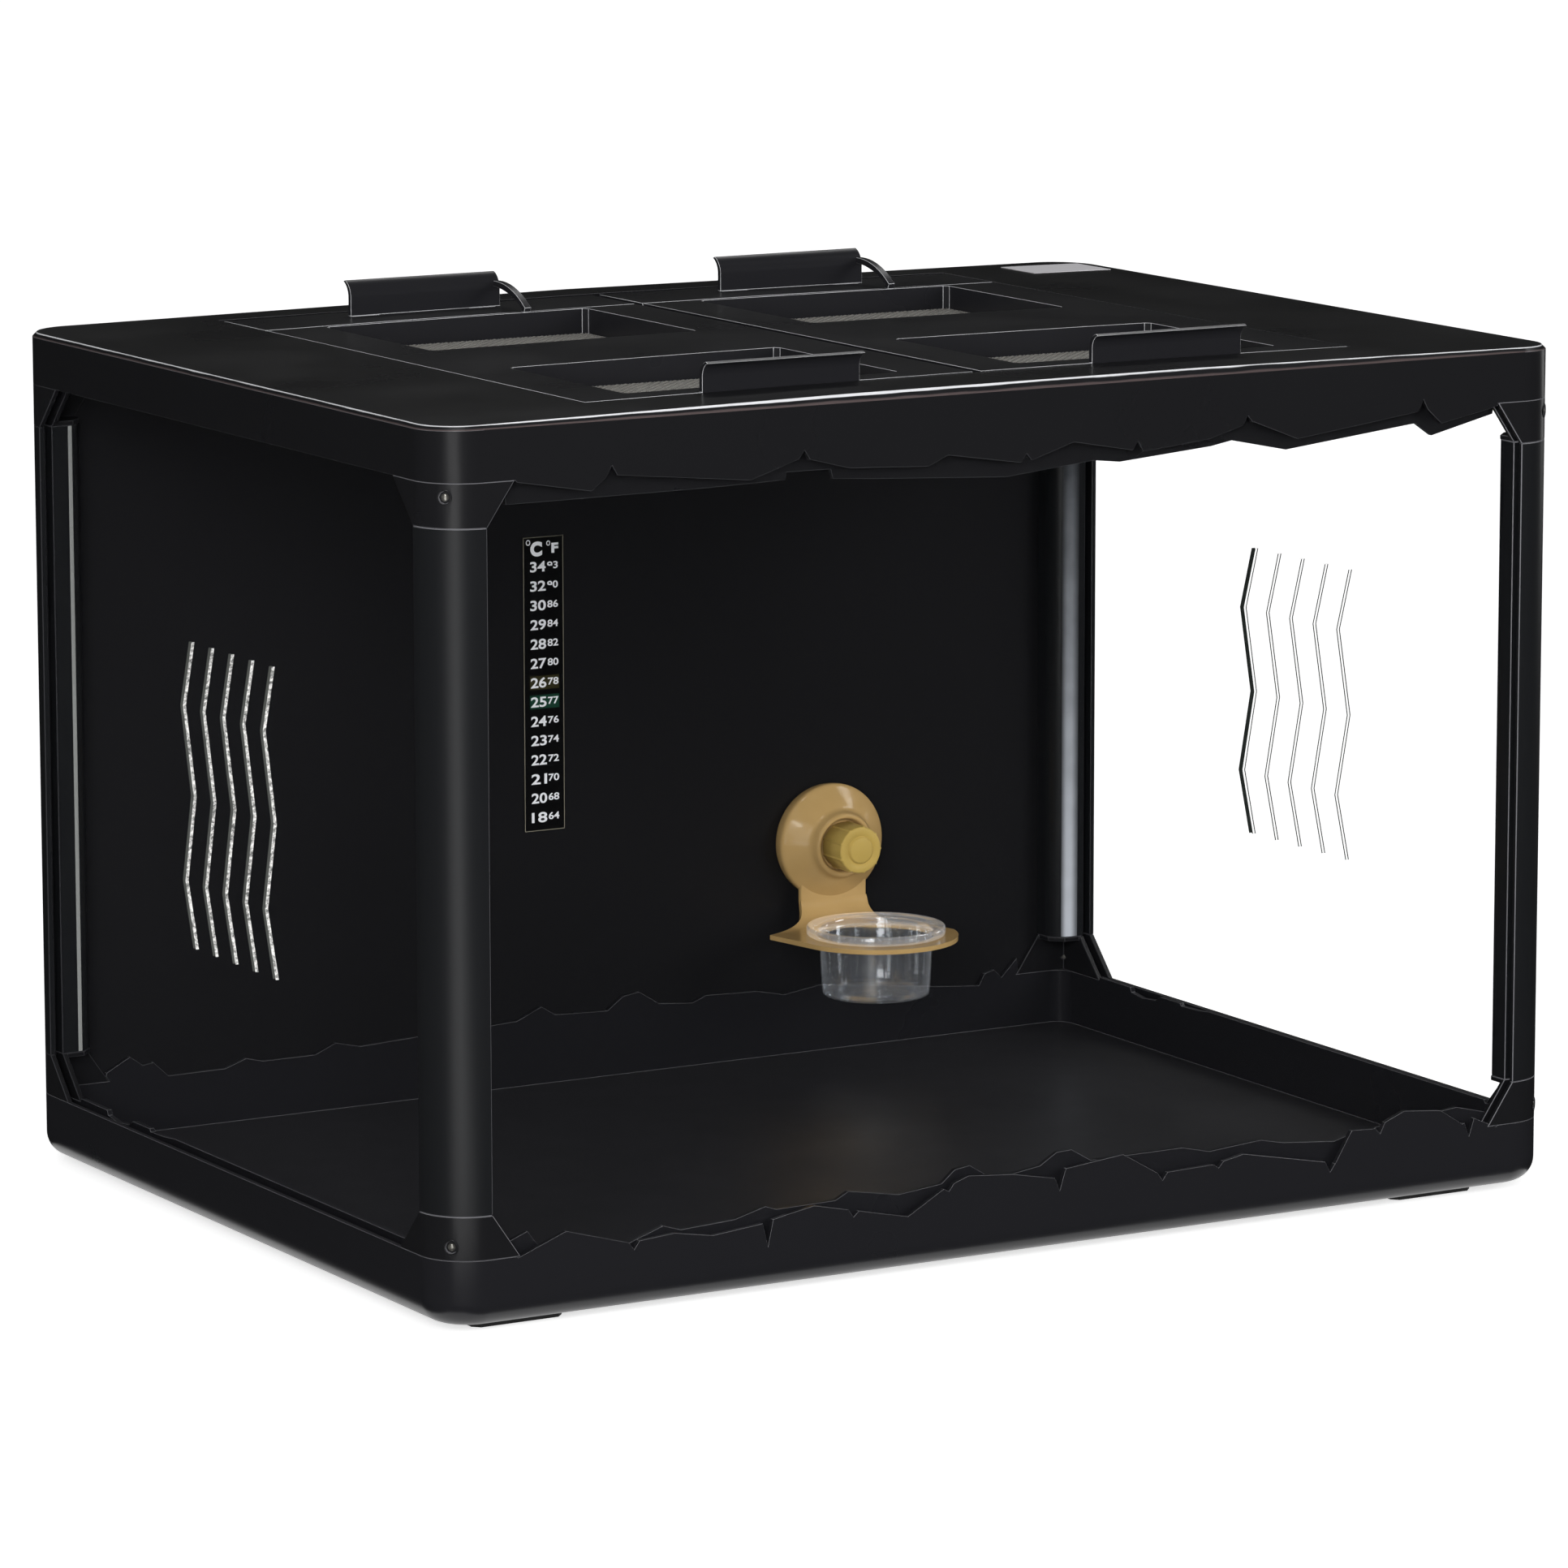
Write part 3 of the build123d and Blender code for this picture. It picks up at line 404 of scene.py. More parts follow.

# Corner posts: extruded black PVC, round outside and inside, with a groove along each leg for the
# panes. Faint lines, about 1 mm apart, run along the extrusion, and the rounded edges take the
# painted edge highlight at the front and the painted edge shade at the back. On the rear left post
# a light line is painted as a highlight on the inner corner beside a pane. On the rear right post,
# behind the feeder, a narrow band on the inner corner is painted as a highlight that brightens
# towards the bottom, on a slightly metallic finish.
mm = 0.001
skin_mm, channel_mm, leg_mm, groove_mm, outer_mm, inner_mm = 2.2, 3.4, 21.0, 7.0, 20.0, 9.0
post_plastic, post_out = new_material("black_pvc_extrusion")
place = add(post_plastic, "ShaderNodeTexCoord").outputs["Object"]
along = add(post_plastic, "ShaderNodeMapping", {"Scale": (900.0, 900.0, 1.5)}, Vector=place)
lines = add(post_plastic, "ShaderNodeTexNoise", {"Scale": 1.0, "Detail": 3.0}, Vector=along.outputs[0])
rough = add(post_plastic, "ShaderNodeMapRange", {"To Min": 0.34, "To Max": 0.42}, Value=lines.outputs["Fac"])
bump = add(post_plastic, "ShaderNodeBump", {"Strength": 0.08, "Distance": 0.00002},
           Height=lines.outputs["Fac"])
finish(post_plastic, post_out, add(
    post_plastic, "ShaderNodeBsdfPrincipled",
    {"Base Color": linear("#17181a"), "IOR": 1.53, "Specular IOR Level": 0.4},
    Roughness=rough.outputs[0], Normal=bump.outputs[0]))
# Painted highlight: the light line on the rear left post's inner corner.
lip_highlight = moulded("painted_highlight_lip", "#8e908e", (0.25, 0.35), 0.5, 0.00002)

highlight_low, highlight_high = 0.05, 0.283
left_dark, left_light, right_light, right_dark = 0.2424, 0.2456, 0.2470, 0.2512
# Painted highlight: a narrow band across x that brightens towards the bottom, with dark grey beside it.
corner_highlight, corner_highlight_out = new_material("painted_highlight_corner_band")
place = add(corner_highlight, "ShaderNodeTexCoord").outputs["Object"]
at = add(corner_highlight, "ShaderNodeSeparateXYZ", {}, Vector=place)
rise = add(corner_highlight, "ShaderNodeMapRange", {"From Min": highlight_low, "From Max": highlight_high}, Value=at.outputs["Z"])
mottle = add(corner_highlight, "ShaderNodeTexNoise", {"Scale": 60.0, "Detail": 5.0}, Vector=place)
shift = add(corner_highlight, "ShaderNodeMapRange", {"To Min": -0.22, "To Max": 0.22}, Value=mottle.outputs["Fac"])
mixed = add(corner_highlight, "ShaderNodeMath", {"operation": "ADD", "use_clamp": True}, i0=rise.outputs[0],
            i1=shift.outputs[0])
left_fade = add(corner_highlight, "ShaderNodeMapRange",
                {"interpolation_type": "SMOOTHSTEP", "From Min": left_dark, "From Max": left_light},
                Value=at.outputs["X"])
right_fade = add(corner_highlight, "ShaderNodeMapRange",
                 {"interpolation_type": "SMOOTHSTEP", "From Min": right_dark, "From Max": right_light,
                  "To Min": 0.16}, Value=at.outputs["X"])
core = add(corner_highlight, "ShaderNodeMath", {"operation": "MULTIPLY"}, i0=left_fade.outputs[0],
           i1=right_fade.outputs[0])
bright = add(corner_highlight, "ShaderNodeMix", {"data_type": "RGBA", 6: linear("#c8cdd5"), 7: linear("#2e3136")},
             Factor=mixed.outputs[0])
tone = add(corner_highlight, "ShaderNodeMix", {"data_type": "RGBA", 6: linear("#202225")}, Factor=core.outputs[0],
           i7=bright.outputs[2])
finish(corner_highlight, corner_highlight_out, add(corner_highlight, "ShaderNodeBsdfPrincipled", {"Roughness": 0.35, "Metallic": 0.15},
                           Base_Color=tone.outputs[2]))


def solid_from(name, parts, material, nodes=(), body=None, slot=None, crease=50.0):
    """One welded object at the origin from parts of (points, faces), riding on a body, with each
    part's shared points merged and its faces turned outwards; it stands for the nodes named."""
    points = np.concatenate([p.reshape(-1, 3) for p, f in parts])
    starts = np.cumsum([0] + [p.size // 3 for p, f in parts])
    faces = [[int(v) + start for v in face] for (p, f), start in zip(parts, starts) for face in f]
    mesh = bpy.data.meshes.new(name)
    mesh.from_pydata(points.tolist(), [], faces)
    work = bmesh.new()
    work.from_mesh(mesh)
    bmesh.ops.remove_doubles(work, verts=work.verts, dist=1e-7)
    bmesh.ops.dissolve_degenerate(work, dist=1e-8, edges=work.edges)
    bmesh.ops.recalc_face_normals(work, faces=work.faces)
    work.to_mesh(mesh)
    work.free()
    mesh.materials.append(material)
    mesh.shade_smooth()
    mesh.set_sharp_from_angle(angle=math.radians(crease))
    made = bpy.data.objects.new(name, mesh)
    scene.collection.objects.link(made)
    for node in nodes:
        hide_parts(node)
        body, slot = body_of[node], slot_of[node]
    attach(made, body)
    return made


def arc(x, y, radius, start, end, steps):
    """Points (x + r cos t, y + r sin t) of an arc, from one angle t to another in degrees."""
    turn = np.radians(np.linspace(start, end, steps + 1))
    return np.stack([x + radius * np.cos(turn), y + radius * np.sin(turn)], axis=1)


def extruded(outline, low, high):
    """Closed outline carried straight up from a low to a high level, with a flat face at each end."""
    count = len(outline)
    points = np.stack([np.column_stack([outline, np.full(count, z)]) for z in (low, high)])
    sides = grid_faces(2, count, columns_closed=True).tolist()
    return points, sides + [list(range(count))[::-1], list(range(count, 2 * count))]


deep, far, highlight_end = leg_mm - groove_mm, skin_mm + channel_mm, 9.0
highlight_turn, lip_from, lip_to, slack = 58, 70, 84, 0.2
plan = np.concatenate([
    [(leg_mm, 0), (leg_mm, skin_mm), (deep, skin_mm), (deep, far), (leg_mm, far)],
    arc(leg_mm - inner_mm, leg_mm - inner_mm, inner_mm, 0, 90, 14), [(highlight_end, leg_mm)],
    [(far, leg_mm), (far, deep), (skin_mm, deep), (skin_mm, leg_mm), (0, leg_mm)],
    arc(outer_mm, outer_mm, outer_mm, 180, 270, 24)]) * mm
for corner in CORNERS:
    node = "post_" + corner
    low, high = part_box(node)
    x_way, y_way = (1 if "left" in corner else -1), (1 if "front" in corner else -1)
    from_x, from_y = (low[0] if x_way > 0 else high[0]), (low[1] if y_way > 0 else high[1])
    outline = np.column_stack([from_x + x_way * plan[:, 0], from_y + y_way * plan[:, 1]])
    post = solid_from("extruded_" + node, [extruded(outline, low[2], high[2])], post_plastic, [node],
                      crease=35.0)
    # Painted highlight on the front posts' edges, painted shade on the rear posts' edges.
    round_edges(post, edge_width, 1, line=edge_highlight_paint if "front" in corner else edge_shade_paint)
    if "rear" in corner:
        post.data.materials.append(corner_highlight if corner == "rear_right" else lip_highlight)
        middle = np.empty(len(post.data.polygons) * 3)
        post.data.polygons.foreach_get("center", middle)
        middle = middle.reshape(-1, 3)[:, :2] - (from_x, from_y)
        on_plan = middle * (x_way, y_way) / mm
        off = on_plan - (leg_mm - inner_mm)
        turn = np.degrees(np.arctan2(off[:, 1], off[:, 0]))
        on_arc = np.abs(np.hypot(*off.T) - inner_mm) < slack
        on_end = (np.abs(on_plan[:, 1] - leg_mm) < slack / 2) & (on_plan[:, 0] > highlight_end) & (off[:, 0] < 0)
        if corner == "rear_right":
            chosen = (on_arc & (turn > highlight_turn)) | on_end
        else:
            chosen = on_arc & (turn > lip_from) & (turn < lip_to)
        post.data.polygons.foreach_set("material_index", np.where(chosen, 2, 0).astype(np.int32))

# Back panel: opaque black sheet, cut to size and slid into the channels of the rear posts. Its
# satin face hardly reflects, so the inside reads dark behind the feeder.
sheet_plastic = moulded("black_sheet_plastic", "#18181a", (0.42, 0.5), 0.5, 0.00001, 0.3)
dressed_copy("back_panel", sheet_plastic, edge_width)

# Clear panes: 3 mm acrylic sheet, slid into the posts' grooves, with five zigzag vent slots cut by
# laser through each side pane. It is nearly free of reflections in this light, and face on it is
# all but invisible.
acrylic, acrylic_out = new_material("clear_acrylic_face")
place = add(acrylic, "ShaderNodeTexCoord").outputs["Object"]
dust = add(acrylic, "ShaderNodeTexNoise", {"Scale": 60.0, "Detail": 5.0}, Vector=place)
rough = add(acrylic, "ShaderNodeMapRange", {"To Min": 0.02, "To Max": 0.05}, Value=dust.outputs["Fac"])
edge_on = add(acrylic, "ShaderNodeLayerWeight", {"Blend": 0.5})
cover = add(acrylic, "ShaderNodeMapRange", {"From Min": 0.7, "To Min": 0.006, "To Max": 0.30},
            Value=edge_on.outputs["Facing"])
finish(acrylic, acrylic_out, add(
    acrylic, "ShaderNodeBsdfPrincipled", {"Base Color": linear("#20262a"), "IOR": 1.49},
    Roughness=rough.outputs[0], Alpha=cover.outputs[0]))

for node in ("front_pane", "left_pane", "right_pane"):
    dressed_copy(node, acrylic, 0.0, crease=50.0)

# Slot walls: the laser leaves a frosted wall on each side of a slot. On the left the front walls
# are painted bright with a sparkling highlight and the rear walls are painted dim as shade; on the
# right thin dark lines are painted as shade against the light.
# Painted highlight: grey to near-white sparkle on the left front walls.
slot_highlight, slot_highlight_out = new_material("laser_cut_painted_highlight")
place = add(slot_highlight, "ShaderNodeTexCoord").outputs["Object"]
cut = add(slot_highlight, "ShaderNodeTexNoise", {"Scale": 700.0, "Detail": 4.0, "Roughness": 0.7}, Vector=place)
spread = add(slot_highlight, "ShaderNodeMapRange", {"From Min": 0.38, "From Max": 0.62}, Value=cut.outputs["Fac"])
tone = add(slot_highlight, "ShaderNodeMix", {"data_type": "RGBA", 6: linear("#6a6b69"), 7: linear("#fbfaf7")},
           Factor=spread.outputs[0])
finish(slot_highlight, slot_highlight_out, add(slot_highlight, "ShaderNodeBsdfPrincipled", {"IOR": 1.49, "Roughness": 0.35},
                                 Base_Color=tone.outputs[2]))
# Painted shade: the dim grey of the left rear walls and the dark grey of the right lines.
slot_dim_paint = moulded("laser_cut_painted_dim", "#4b4d4a", (0.4, 0.6), 0.3, 0.00002)
slot_shade_paint = moulded("laser_cut_painted_shade", "#232725", (0.3, 0.5), 0.3, 0.00002, 0.2)
slot_levels = 0.242 - np.cumsum([0, 0.027, 0.036, 0.036, 0.027])
slot_front, slot_pitch, slot_swing, slot_width, slot_count = -0.0415, 0.0181, 0.0088, 0.0024, 5


def slot_ribbon(index, from_front, x0, x1):
    """Strip from x0 to x1 that follows one zigzag slot at a distance from its front edge. Corner k
    lies at slot_levels[k], and slot_swing·(k mod 2) further back."""
    y = slot_front + index * slot_pitch + slot_swing * (np.arange(len(slot_levels)) % 2) + from_front
    points = np.stack([np.column_stack([np.full(len(y), x), y, slot_levels]) for x in (x0, x1)])
    return points, grid_faces(*points.shape[:2])


hair = 0.00002
slots, front_wall, rear_wall = range(slot_count), hair, slot_width - hair
outer_face, inner_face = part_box("left_pane")[0][0] + 0.00005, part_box("right_pane")[0][0] + 0.0001
left_depth, line_width, line_step, last_depth = 0.00135, 0.0005, 0.0014, 0.0017
left_ends = (outer_face, outer_face + left_depth)
right_starts = (inner_face, inner_face + line_step)
right_lines = [(i, front_wall, x, x + line_width) for i in slots for x in right_starts]
right_lines.append((slots[-1], rear_wall, inner_face, inner_face + last_depth))
for name, ribbons, material in (
        ("left_slot_front_walls", [(i, front_wall, *left_ends) for i in slots], slot_highlight),
        ("left_slot_rear_walls", [(i, rear_wall, *left_ends) for i in slots], slot_dim_paint),
        ("right_slot_lines", right_lines, slot_shade_paint)):
    solid_from(name, [slot_ribbon(*ribbon) for ribbon in ribbons], material, body="enclosure",
               slot=slot_of["left_pane"])

# Window mesh: plain-woven steel wire, 0.45 mm thick at a 1.9 mm pitch, laid in each window.
# A warp wire lies at height a·cos(pi·(i + j)) over crossing j, and a weft wire at minus that.
wire_steel, wire_out = new_material("woven_steel_wire")
place = add(wire_steel, "ShaderNodeTexCoord").outputs["Object"]
drawn = add(wire_steel, "ShaderNodeTexNoise", {"Scale": 700.0, "Detail": 3.0}, Vector=place)
tone = add(wire_steel, "ShaderNodeMix", {"data_type": "RGBA", 6: linear("#7f7d79"), 7: linear("#bebcb6")},
           Factor=drawn.outputs["Fac"])
rough = add(wire_steel, "ShaderNodeMapRange", {"To Min": 0.32, "To Max": 0.5}, Value=drawn.outputs["Fac"])
finish(wire_steel, wire_out, add(wire_steel, "ShaderNodeBsdfPrincipled", {"Metallic": 0.55},
                                 Roughness=rough.outputs[0], Base_Color=tone.outputs[2]))
wire_pitch, wire_radius, wire_inset = 0.0019, 0.00022, 0.0004


def woven_wires(low, high, lane, height, parity):
    """Wires along the first axis: lane k sits at lane[k], a four-sided tube whose middle follows
    height + a·(-1)^(k + j + parity) at crossing j. Returns points (along, across, up) and faces."""
    stops = np.linspace(low, high, int(round((high - low) / wire_pitch)) * 2 + 1)
    wave = np.cos(np.pi * np.arange(len(stops)) / 2)
    wave[1::2] = 0.0
    sign = np.where((np.arange(len(lane)) + parity) % 2 == 0, 1.0, -1.0)
    middle = height + wire_radius * sign[:, None] * wave[None, :]
    turn = np.pi / 4 + np.arange(4) * np.pi / 2
    across = lane[:, None, None] + wire_radius * np.cos(turn)[None, None, :]
    up = middle[:, :, None] + wire_radius * np.sin(turn)[None, None, :]
    along = np.broadcast_to(stops[None, :, None], up.shape)
    points = np.stack([along, np.broadcast_to(across, up.shape), up], axis=-1)
    one = grid_faces(len(stops), 4, columns_closed=True)
    starts = np.arange(len(lane))[:, None, None] * len(stops) * 4
    return points.reshape(-1, 3), (one[None] + starts).reshape(-1, 4)


for node in ("mesh_left_front", "mesh_left_rear", "mesh_right_front", "mesh_right_rear"):
    low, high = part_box(node)
    level = (low[2] + high[2]) / 2
    columns = np.arange(low[0] + wire_inset + wire_radius, high[0] - wire_inset, wire_pitch)
    rows = np.arange(low[1] + wire_inset + wire_radius, high[1] - wire_inset, wire_pitch)
    warp, warp_faces = woven_wires(columns[0], columns[-1], rows, level, 0)
    weft, weft_faces = woven_wires(rows[0], rows[-1], columns, level, 1)
    solid_from("woven_" + node, [(warp, warp_faces), (weft[:, [1, 0, 2]], weft_faces)], wire_steel, [node])

# Hinge pins: bright drawn steel rod, pushed through the barrels of the lids and the lug of the top
# frame. They shine, with fine draw lines about 1 mm apart.
pin_edge_width = 0.0001
pin_steel, pin_out = new_material("drawn_steel_pin")
place = add(pin_steel, "ShaderNodeTexCoord").outputs["Object"]
drawn = add(pin_steel, "ShaderNodeTexNoise", {"Scale": 900.0}, Vector=place)
rough = add(pin_steel, "ShaderNodeMapRange", {"To Min": 0.25, "To Max": 0.4}, Value=drawn.outputs["Fac"])
finish(pin_steel, pin_out, add(
    pin_steel, "ShaderNodeBsdfPrincipled", {"Base Color": linear("#a9abad"), "Metallic": 1.0},
    Roughness=rough.outputs[0]))
for node in ("left_hinge_pin", "middle_hinge_pin", "right_hinge_pin"):
    dressed_copy(node, pin_steel, pin_edge_width)

# Feet: four die-cut pads of black rubber, stuck under the tray's corners, dull and finely pitted.
# Only their edges show, as thin dark slivers.
pad_rubber = moulded("die_cut_black_rubber", "#141414", (0.65, 0.8), 0.8, 0.0001)
for corner in CORNERS:
    dressed_copy("foot_" + corner, pad_rubber, edge_width)

# Corner screws: a small nickel-plated pan head deep in a round recess, whose moulded lip stands
# a little proud of the bracket. The axis of each screw points inwards across the rounded corner.
nickel, nickel_out = new_material("nickel_plated_screw")
place = add(nickel, "ShaderNodeTexCoord").outputs["Object"]
stain = add(nickel, "ShaderNodeTexNoise", {"Scale": 1200.0, "Detail": 3.0}, Vector=place)
rough = add(nickel, "ShaderNodeMapRange", {"To Min": 0.22, "To Max": 0.4}, Value=stain.outputs["Fac"])
finish(nickel, nickel_out, add(
    nickel, "ShaderNodeBsdfPrincipled", {"Base Color": linear("#b5b3ab"), "Metallic": 0.9},
    Roughness=rough.outputs[0]))
recess_floor, head_radius, lip_radius, lip_thickness, lip_flatness = 0.9, 1.55, 2.75, 0.3, 0.7


def smooth(points, steps):
    """Catmull-Rom curve through the points: each span is a cubic whose end slopes are half the
    difference of the neighbours, cut into equal steps of its parameter."""
    p = np.array(points, float)
    p = np.vstack([2 * p[0] - p[1], p, 2 * p[-1] - p[-2]])
    t = (np.arange(steps) / steps)[None, :, None]
    a, b, c, d = [p[i:len(p) - 3 + i, None, :] for i in range(4)]
    spans = 0.5 * (2 * b + (c - a) * t + (2 * a - 5 * b + 4 * c - d) * t ** 2
                   + (3 * b - a - 3 * c + d) * t ** 3)
    return np.vstack([spans.reshape(-1, p.shape[1]), p[-2]])


def lathe(profile, steps, closed=False):
    """Profile of (radius, height) turned about the height axis: (r cos t, r sin t, h)."""
    radius, height = np.asarray(profile, float).T
    turn = 2 * np.pi * np.arange(steps) / steps
    points = np.stack([radius[:, None] * np.cos(turn), radius[:, None] * np.sin(turn),
                       np.broadcast_to(height[:, None], (len(radius), steps))], axis=-1)
    return points, grid_faces(len(radius), steps, closed, True)


def placed(part, origin, x_way, height_way):
    """Turns a part so that its height axis points along height_way and moves it: a point (x, y, z)
    goes to origin + x·across + y·(up × across) + z·up."""
    up = np.array(height_way, float) / np.linalg.norm(height_way)
    across = np.array(x_way, float) / np.linalg.norm(x_way)
    points, faces = part
    return np.asarray(origin) + points @ np.stack([across, np.cross(up, across), up]), faces


head = smooth([(0, 1.05), (0.8, 0.95), (1.3, 0.6), (head_radius, 0.15)], 3)
screw = lathe(np.vstack([head, [(head_radius, 0), (1.1, 0), (1.1, -0.6), (0, -0.8)]]) * mm, 20)
turn = np.linspace(0, 2 * np.pi, 9)[:-1]
lip = lathe(np.column_stack([lip_radius + lip_thickness * np.cos(turn),
                             lip_thickness * np.sin(turn) * lip_flatness]) * mm, 28, True)
recess = lathe(np.array([(0, 0), (lip_radius, 0), (lip_radius, -0.05), (0, -0.05)]) * mm, 28)
for level in ("bottom", "top"):
    screws, lips = [], []
    low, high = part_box(level + "_screws")
    for x_way in (1, -1):
        for y_way in (1, -1):
            inwards = np.array([x_way, y_way, 0]) / math.sqrt(2)
            corner = ("front" if y_way > 0 else "rear") + ("_left" if x_way > 0 else "_right")
            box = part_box(level + "_bracket_" + corner)
            foot_point = np.array([box[0][0] if x_way > 0 else box[1][0],
                                   box[0][1] if y_way > 0 else box[1][1], (low[2] + high[2]) / 2])
            surface = foot_point + inwards * outer_mm * mm * (math.sqrt(2) - 1)
            screws.append(placed(screw, surface + inwards * recess_floor * mm, (0, 0, 1), -inwards))
            lips.append(placed(lip, surface, (0, 0, 1), -inwards))
            lips.append(placed(recess, surface + inwards * recess_floor * mm, (0, 0, 1), -inwards))
    solid_from(level + "_pan_head_screws", screws, nickel, [level + "_screws"])
    solid_from(level + "_screw_recess_lips", lips, moulding, body="enclosure", slot=slot_of["base_tray"])

# Thermometer strip: gloss-laminated black film, printed in white, with two liquid-crystal
# windows that show a dull olive and a dull green at room temperature.
black_film = moulded("laminated_black_film", "#0b0b0c", (0.3, 0.36), 0.5, 0.00001)
dressed_copy("thermometer_strip", black_film, 0.0)
strip_low, strip_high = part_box("thermometer_strip")

ink, ink_out = new_material("white_screen_print")
place = add(ink, "ShaderNodeTexCoord").outputs["Object"]
speck = add(ink, "ShaderNodeTexNoise", {"Scale": 2500.0, "Detail": 2.0}, Vector=place)
tone = add(ink, "ShaderNodeMix", {"data_type": "RGBA", 6: linear("#dfe3ea"), 7: linear("#fafbfc")},
           Factor=speck.outputs["Fac"])
finish(ink, ink_out, add(ink, "ShaderNodeBsdfPrincipled", {"Roughness": 0.4}, Base_Color=tone.outputs[2]))
border_ink = moulded("worn_border_print", "#8d8979", (0.4, 0.5), 0.5, 0.00001)
scale_rows = [("18", "64"), ("20", "68"), ("21", "70"), ("22", "72"), ("23", "74"), ("24", "76"),
              ("25", "77"), ("26", "78"), ("27", "80"), ("28", "82"), ("29", "84"), ("30", "86"),
              ("32", "90"), ("34", "93")]
first_row, row_pitch, print_lift = 0.0061, 0.00851, 0.00004


def printed(words, x, z, height, width, weight):
    """Flat letters of a weight, scaled to a height and width, on the strip's face at (x, z)."""
    curve = bpy.data.curves.new("letters", "FONT")
    curve.body = words
    curve.resolution_u = 6
    curve.offset = weight
    holder = bpy.data.objects.new("letters", curve)
    scene.collection.objects.link(holder)
    bpy.context.view_layer.update()
    mesh = bpy.data.meshes.new_from_object(holder.evaluated_get(bpy.context.evaluated_depsgraph_get()))
    bpy.data.objects.remove(holder)
    flat = np.empty(len(mesh.vertices) * 3)
    mesh.vertices.foreach_get("co", flat)
    flat = flat.reshape(-1, 3)
    low, high = flat.min(axis=0), flat.max(axis=0)
    flat = (flat - low) / np.maximum(high - low, 1e-9)
    places = np.stack([strip_low[0] + x + flat[:, 0] * width,
                       np.full(len(flat), strip_low[1] - print_lift),
                       strip_low[2] + z + (flat[:, 1] - 0.5) * height], axis=1)
    faces = [list(p.vertices) for p in mesh.polygons]
    bpy.data.meshes.remove(mesh)
    return places, faces


# Each print is its words, its left end and middle level on the strip, its height and width, and
# the weight of its strokes.
prints = []
for i, (celsius, fahrenheit) in enumerate(scale_rows):
    level = first_row + i * row_pitch
    prints += [(celsius, 0.0035, level, 0.0046, 0.0077, 0.022),
               (fahrenheit, 0.0119, level + 0.0003, 0.0032, 0.0053, 0.02)]
header = level + 0.0078
prints += [("C", 0.0037, header, 0.0066, 0.0058, 0.06), ("o", 0.0015, header + 0.0030, 0.0025, 0.0022, 0.0),
           ("F", 0.0141, header, 0.0044, 0.0034, 0.045), ("o", 0.0116, header + 0.0022, 0.0022, 0.0019, 0.0)]
solid_from("strip_print", [printed(*words) for words in prints], ink, body="enclosure", slot="strip_film")

border, margin = 0.00028, 0.00015
right, top = strip_high[0] - strip_low[0] - margin, strip_high[2] - strip_low[2] - margin
bars = []
for x0, x1, z0, z1 in ((margin, margin + border, margin, top), (right - border, right, margin, top),
                       (margin, right, margin, margin + border), (margin, right, top - border, top)):
    corners = np.array([(x0, z0), (x1, z0), (x1, z1), (x0, z1)]) + (strip_low[0], strip_low[2])
    level = np.full(4, strip_low[1] - print_lift)
    bars.append((np.stack([corners[:, 0], level, corners[:, 1]], axis=1), [[0, 1, 2, 3]]))
solid_from("strip_border", bars, border_ink, body="enclosure", slot="strip_film")

cell_left, cell_right, cell_half = strip_low[0] + 0.0030, strip_high[0] - 0.0025, 0.0030
for name, row, colour in (("olive_cell", 7, "#34311a"), ("green_cell", 6, "#12402f")):
    crystal = moulded("liquid_crystal_" + name, colour, (0.3, 0.4), 0.6, 0.00001)
    z = strip_low[2] + first_row + row * row_pitch
    y = strip_low[1] - print_lift / 2
    cell = sheet_mesh(name, [(cell_left, y, z - cell_half), (cell_right, y, z - cell_half),
                             (cell_right, y, z + cell_half), (cell_left, y, z + cell_half)], crystal)
    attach(cell, "enclosure")


# Feeder bracket: one tan polypropylene moulding. A shallow dome covers the sucker and ends in a
# soft round collar. A neck runs down from it and bends forward into the thin ledge, whose ring
# holds the cup. The gloss is even, and the tone changes in clouds about 11 mm wide.
def tan_plastic(name, dark, light, rough_range):
    """Coloured plastic: two close tones in slow clouds under an even gloss."""
    material, out = new_material(name)
    place = add(material, "ShaderNodeTexCoord").outputs["Object"]
    cloud = add(material, "ShaderNodeTexNoise", {"Scale": 90.0, "Detail": 4.0}, Vector=place)
    tone = add(material, "ShaderNodeMix", {"data_type": "RGBA", 6: linear(dark), 7: linear(light)},
               Factor=cloud.outputs["Fac"])
    fine = add(material, "ShaderNodeTexNoise", {"Scale": 2600.0, "Detail": 2.0}, Vector=place)
    bump = add(material, "ShaderNodeBump", {"Strength": 0.1, "Distance": 0.00002}, Height=fine.outputs["Fac"])
    rough = add(material, "ShaderNodeMapRange", {"To Min": rough_range[0], "To Max": rough_range[1]},
                Value=cloud.outputs["Fac"])
    shader = add(material, "ShaderNodeBsdfPrincipled", {"IOR": 1.49}, Roughness=rough.outputs[0],
                 Normal=bump.outputs[0], Base_Color=tone.outputs[2])
    return finish(material, out, shader)


tan = tan_plastic("tan_polypropylene", "#b5955f", "#c4a36d", (0.11, 0.17))
knob_low, knob_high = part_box("feeder_knob")
axis_x, axis_z = (knob_low[0] + knob_high[0]) / 2, (knob_low[2] + knob_high[2]) / 2
panel_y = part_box("feeder_sucker")[1][1]
cup_low, cup_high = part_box("food_cup")
cup_lifted = 0.0005
cup_y, cup_z = (cup_low[1] + cup_high[1]) / 2, cup_low[2] + cup_lifted
on_panel = (axis_x, panel_y, axis_z)
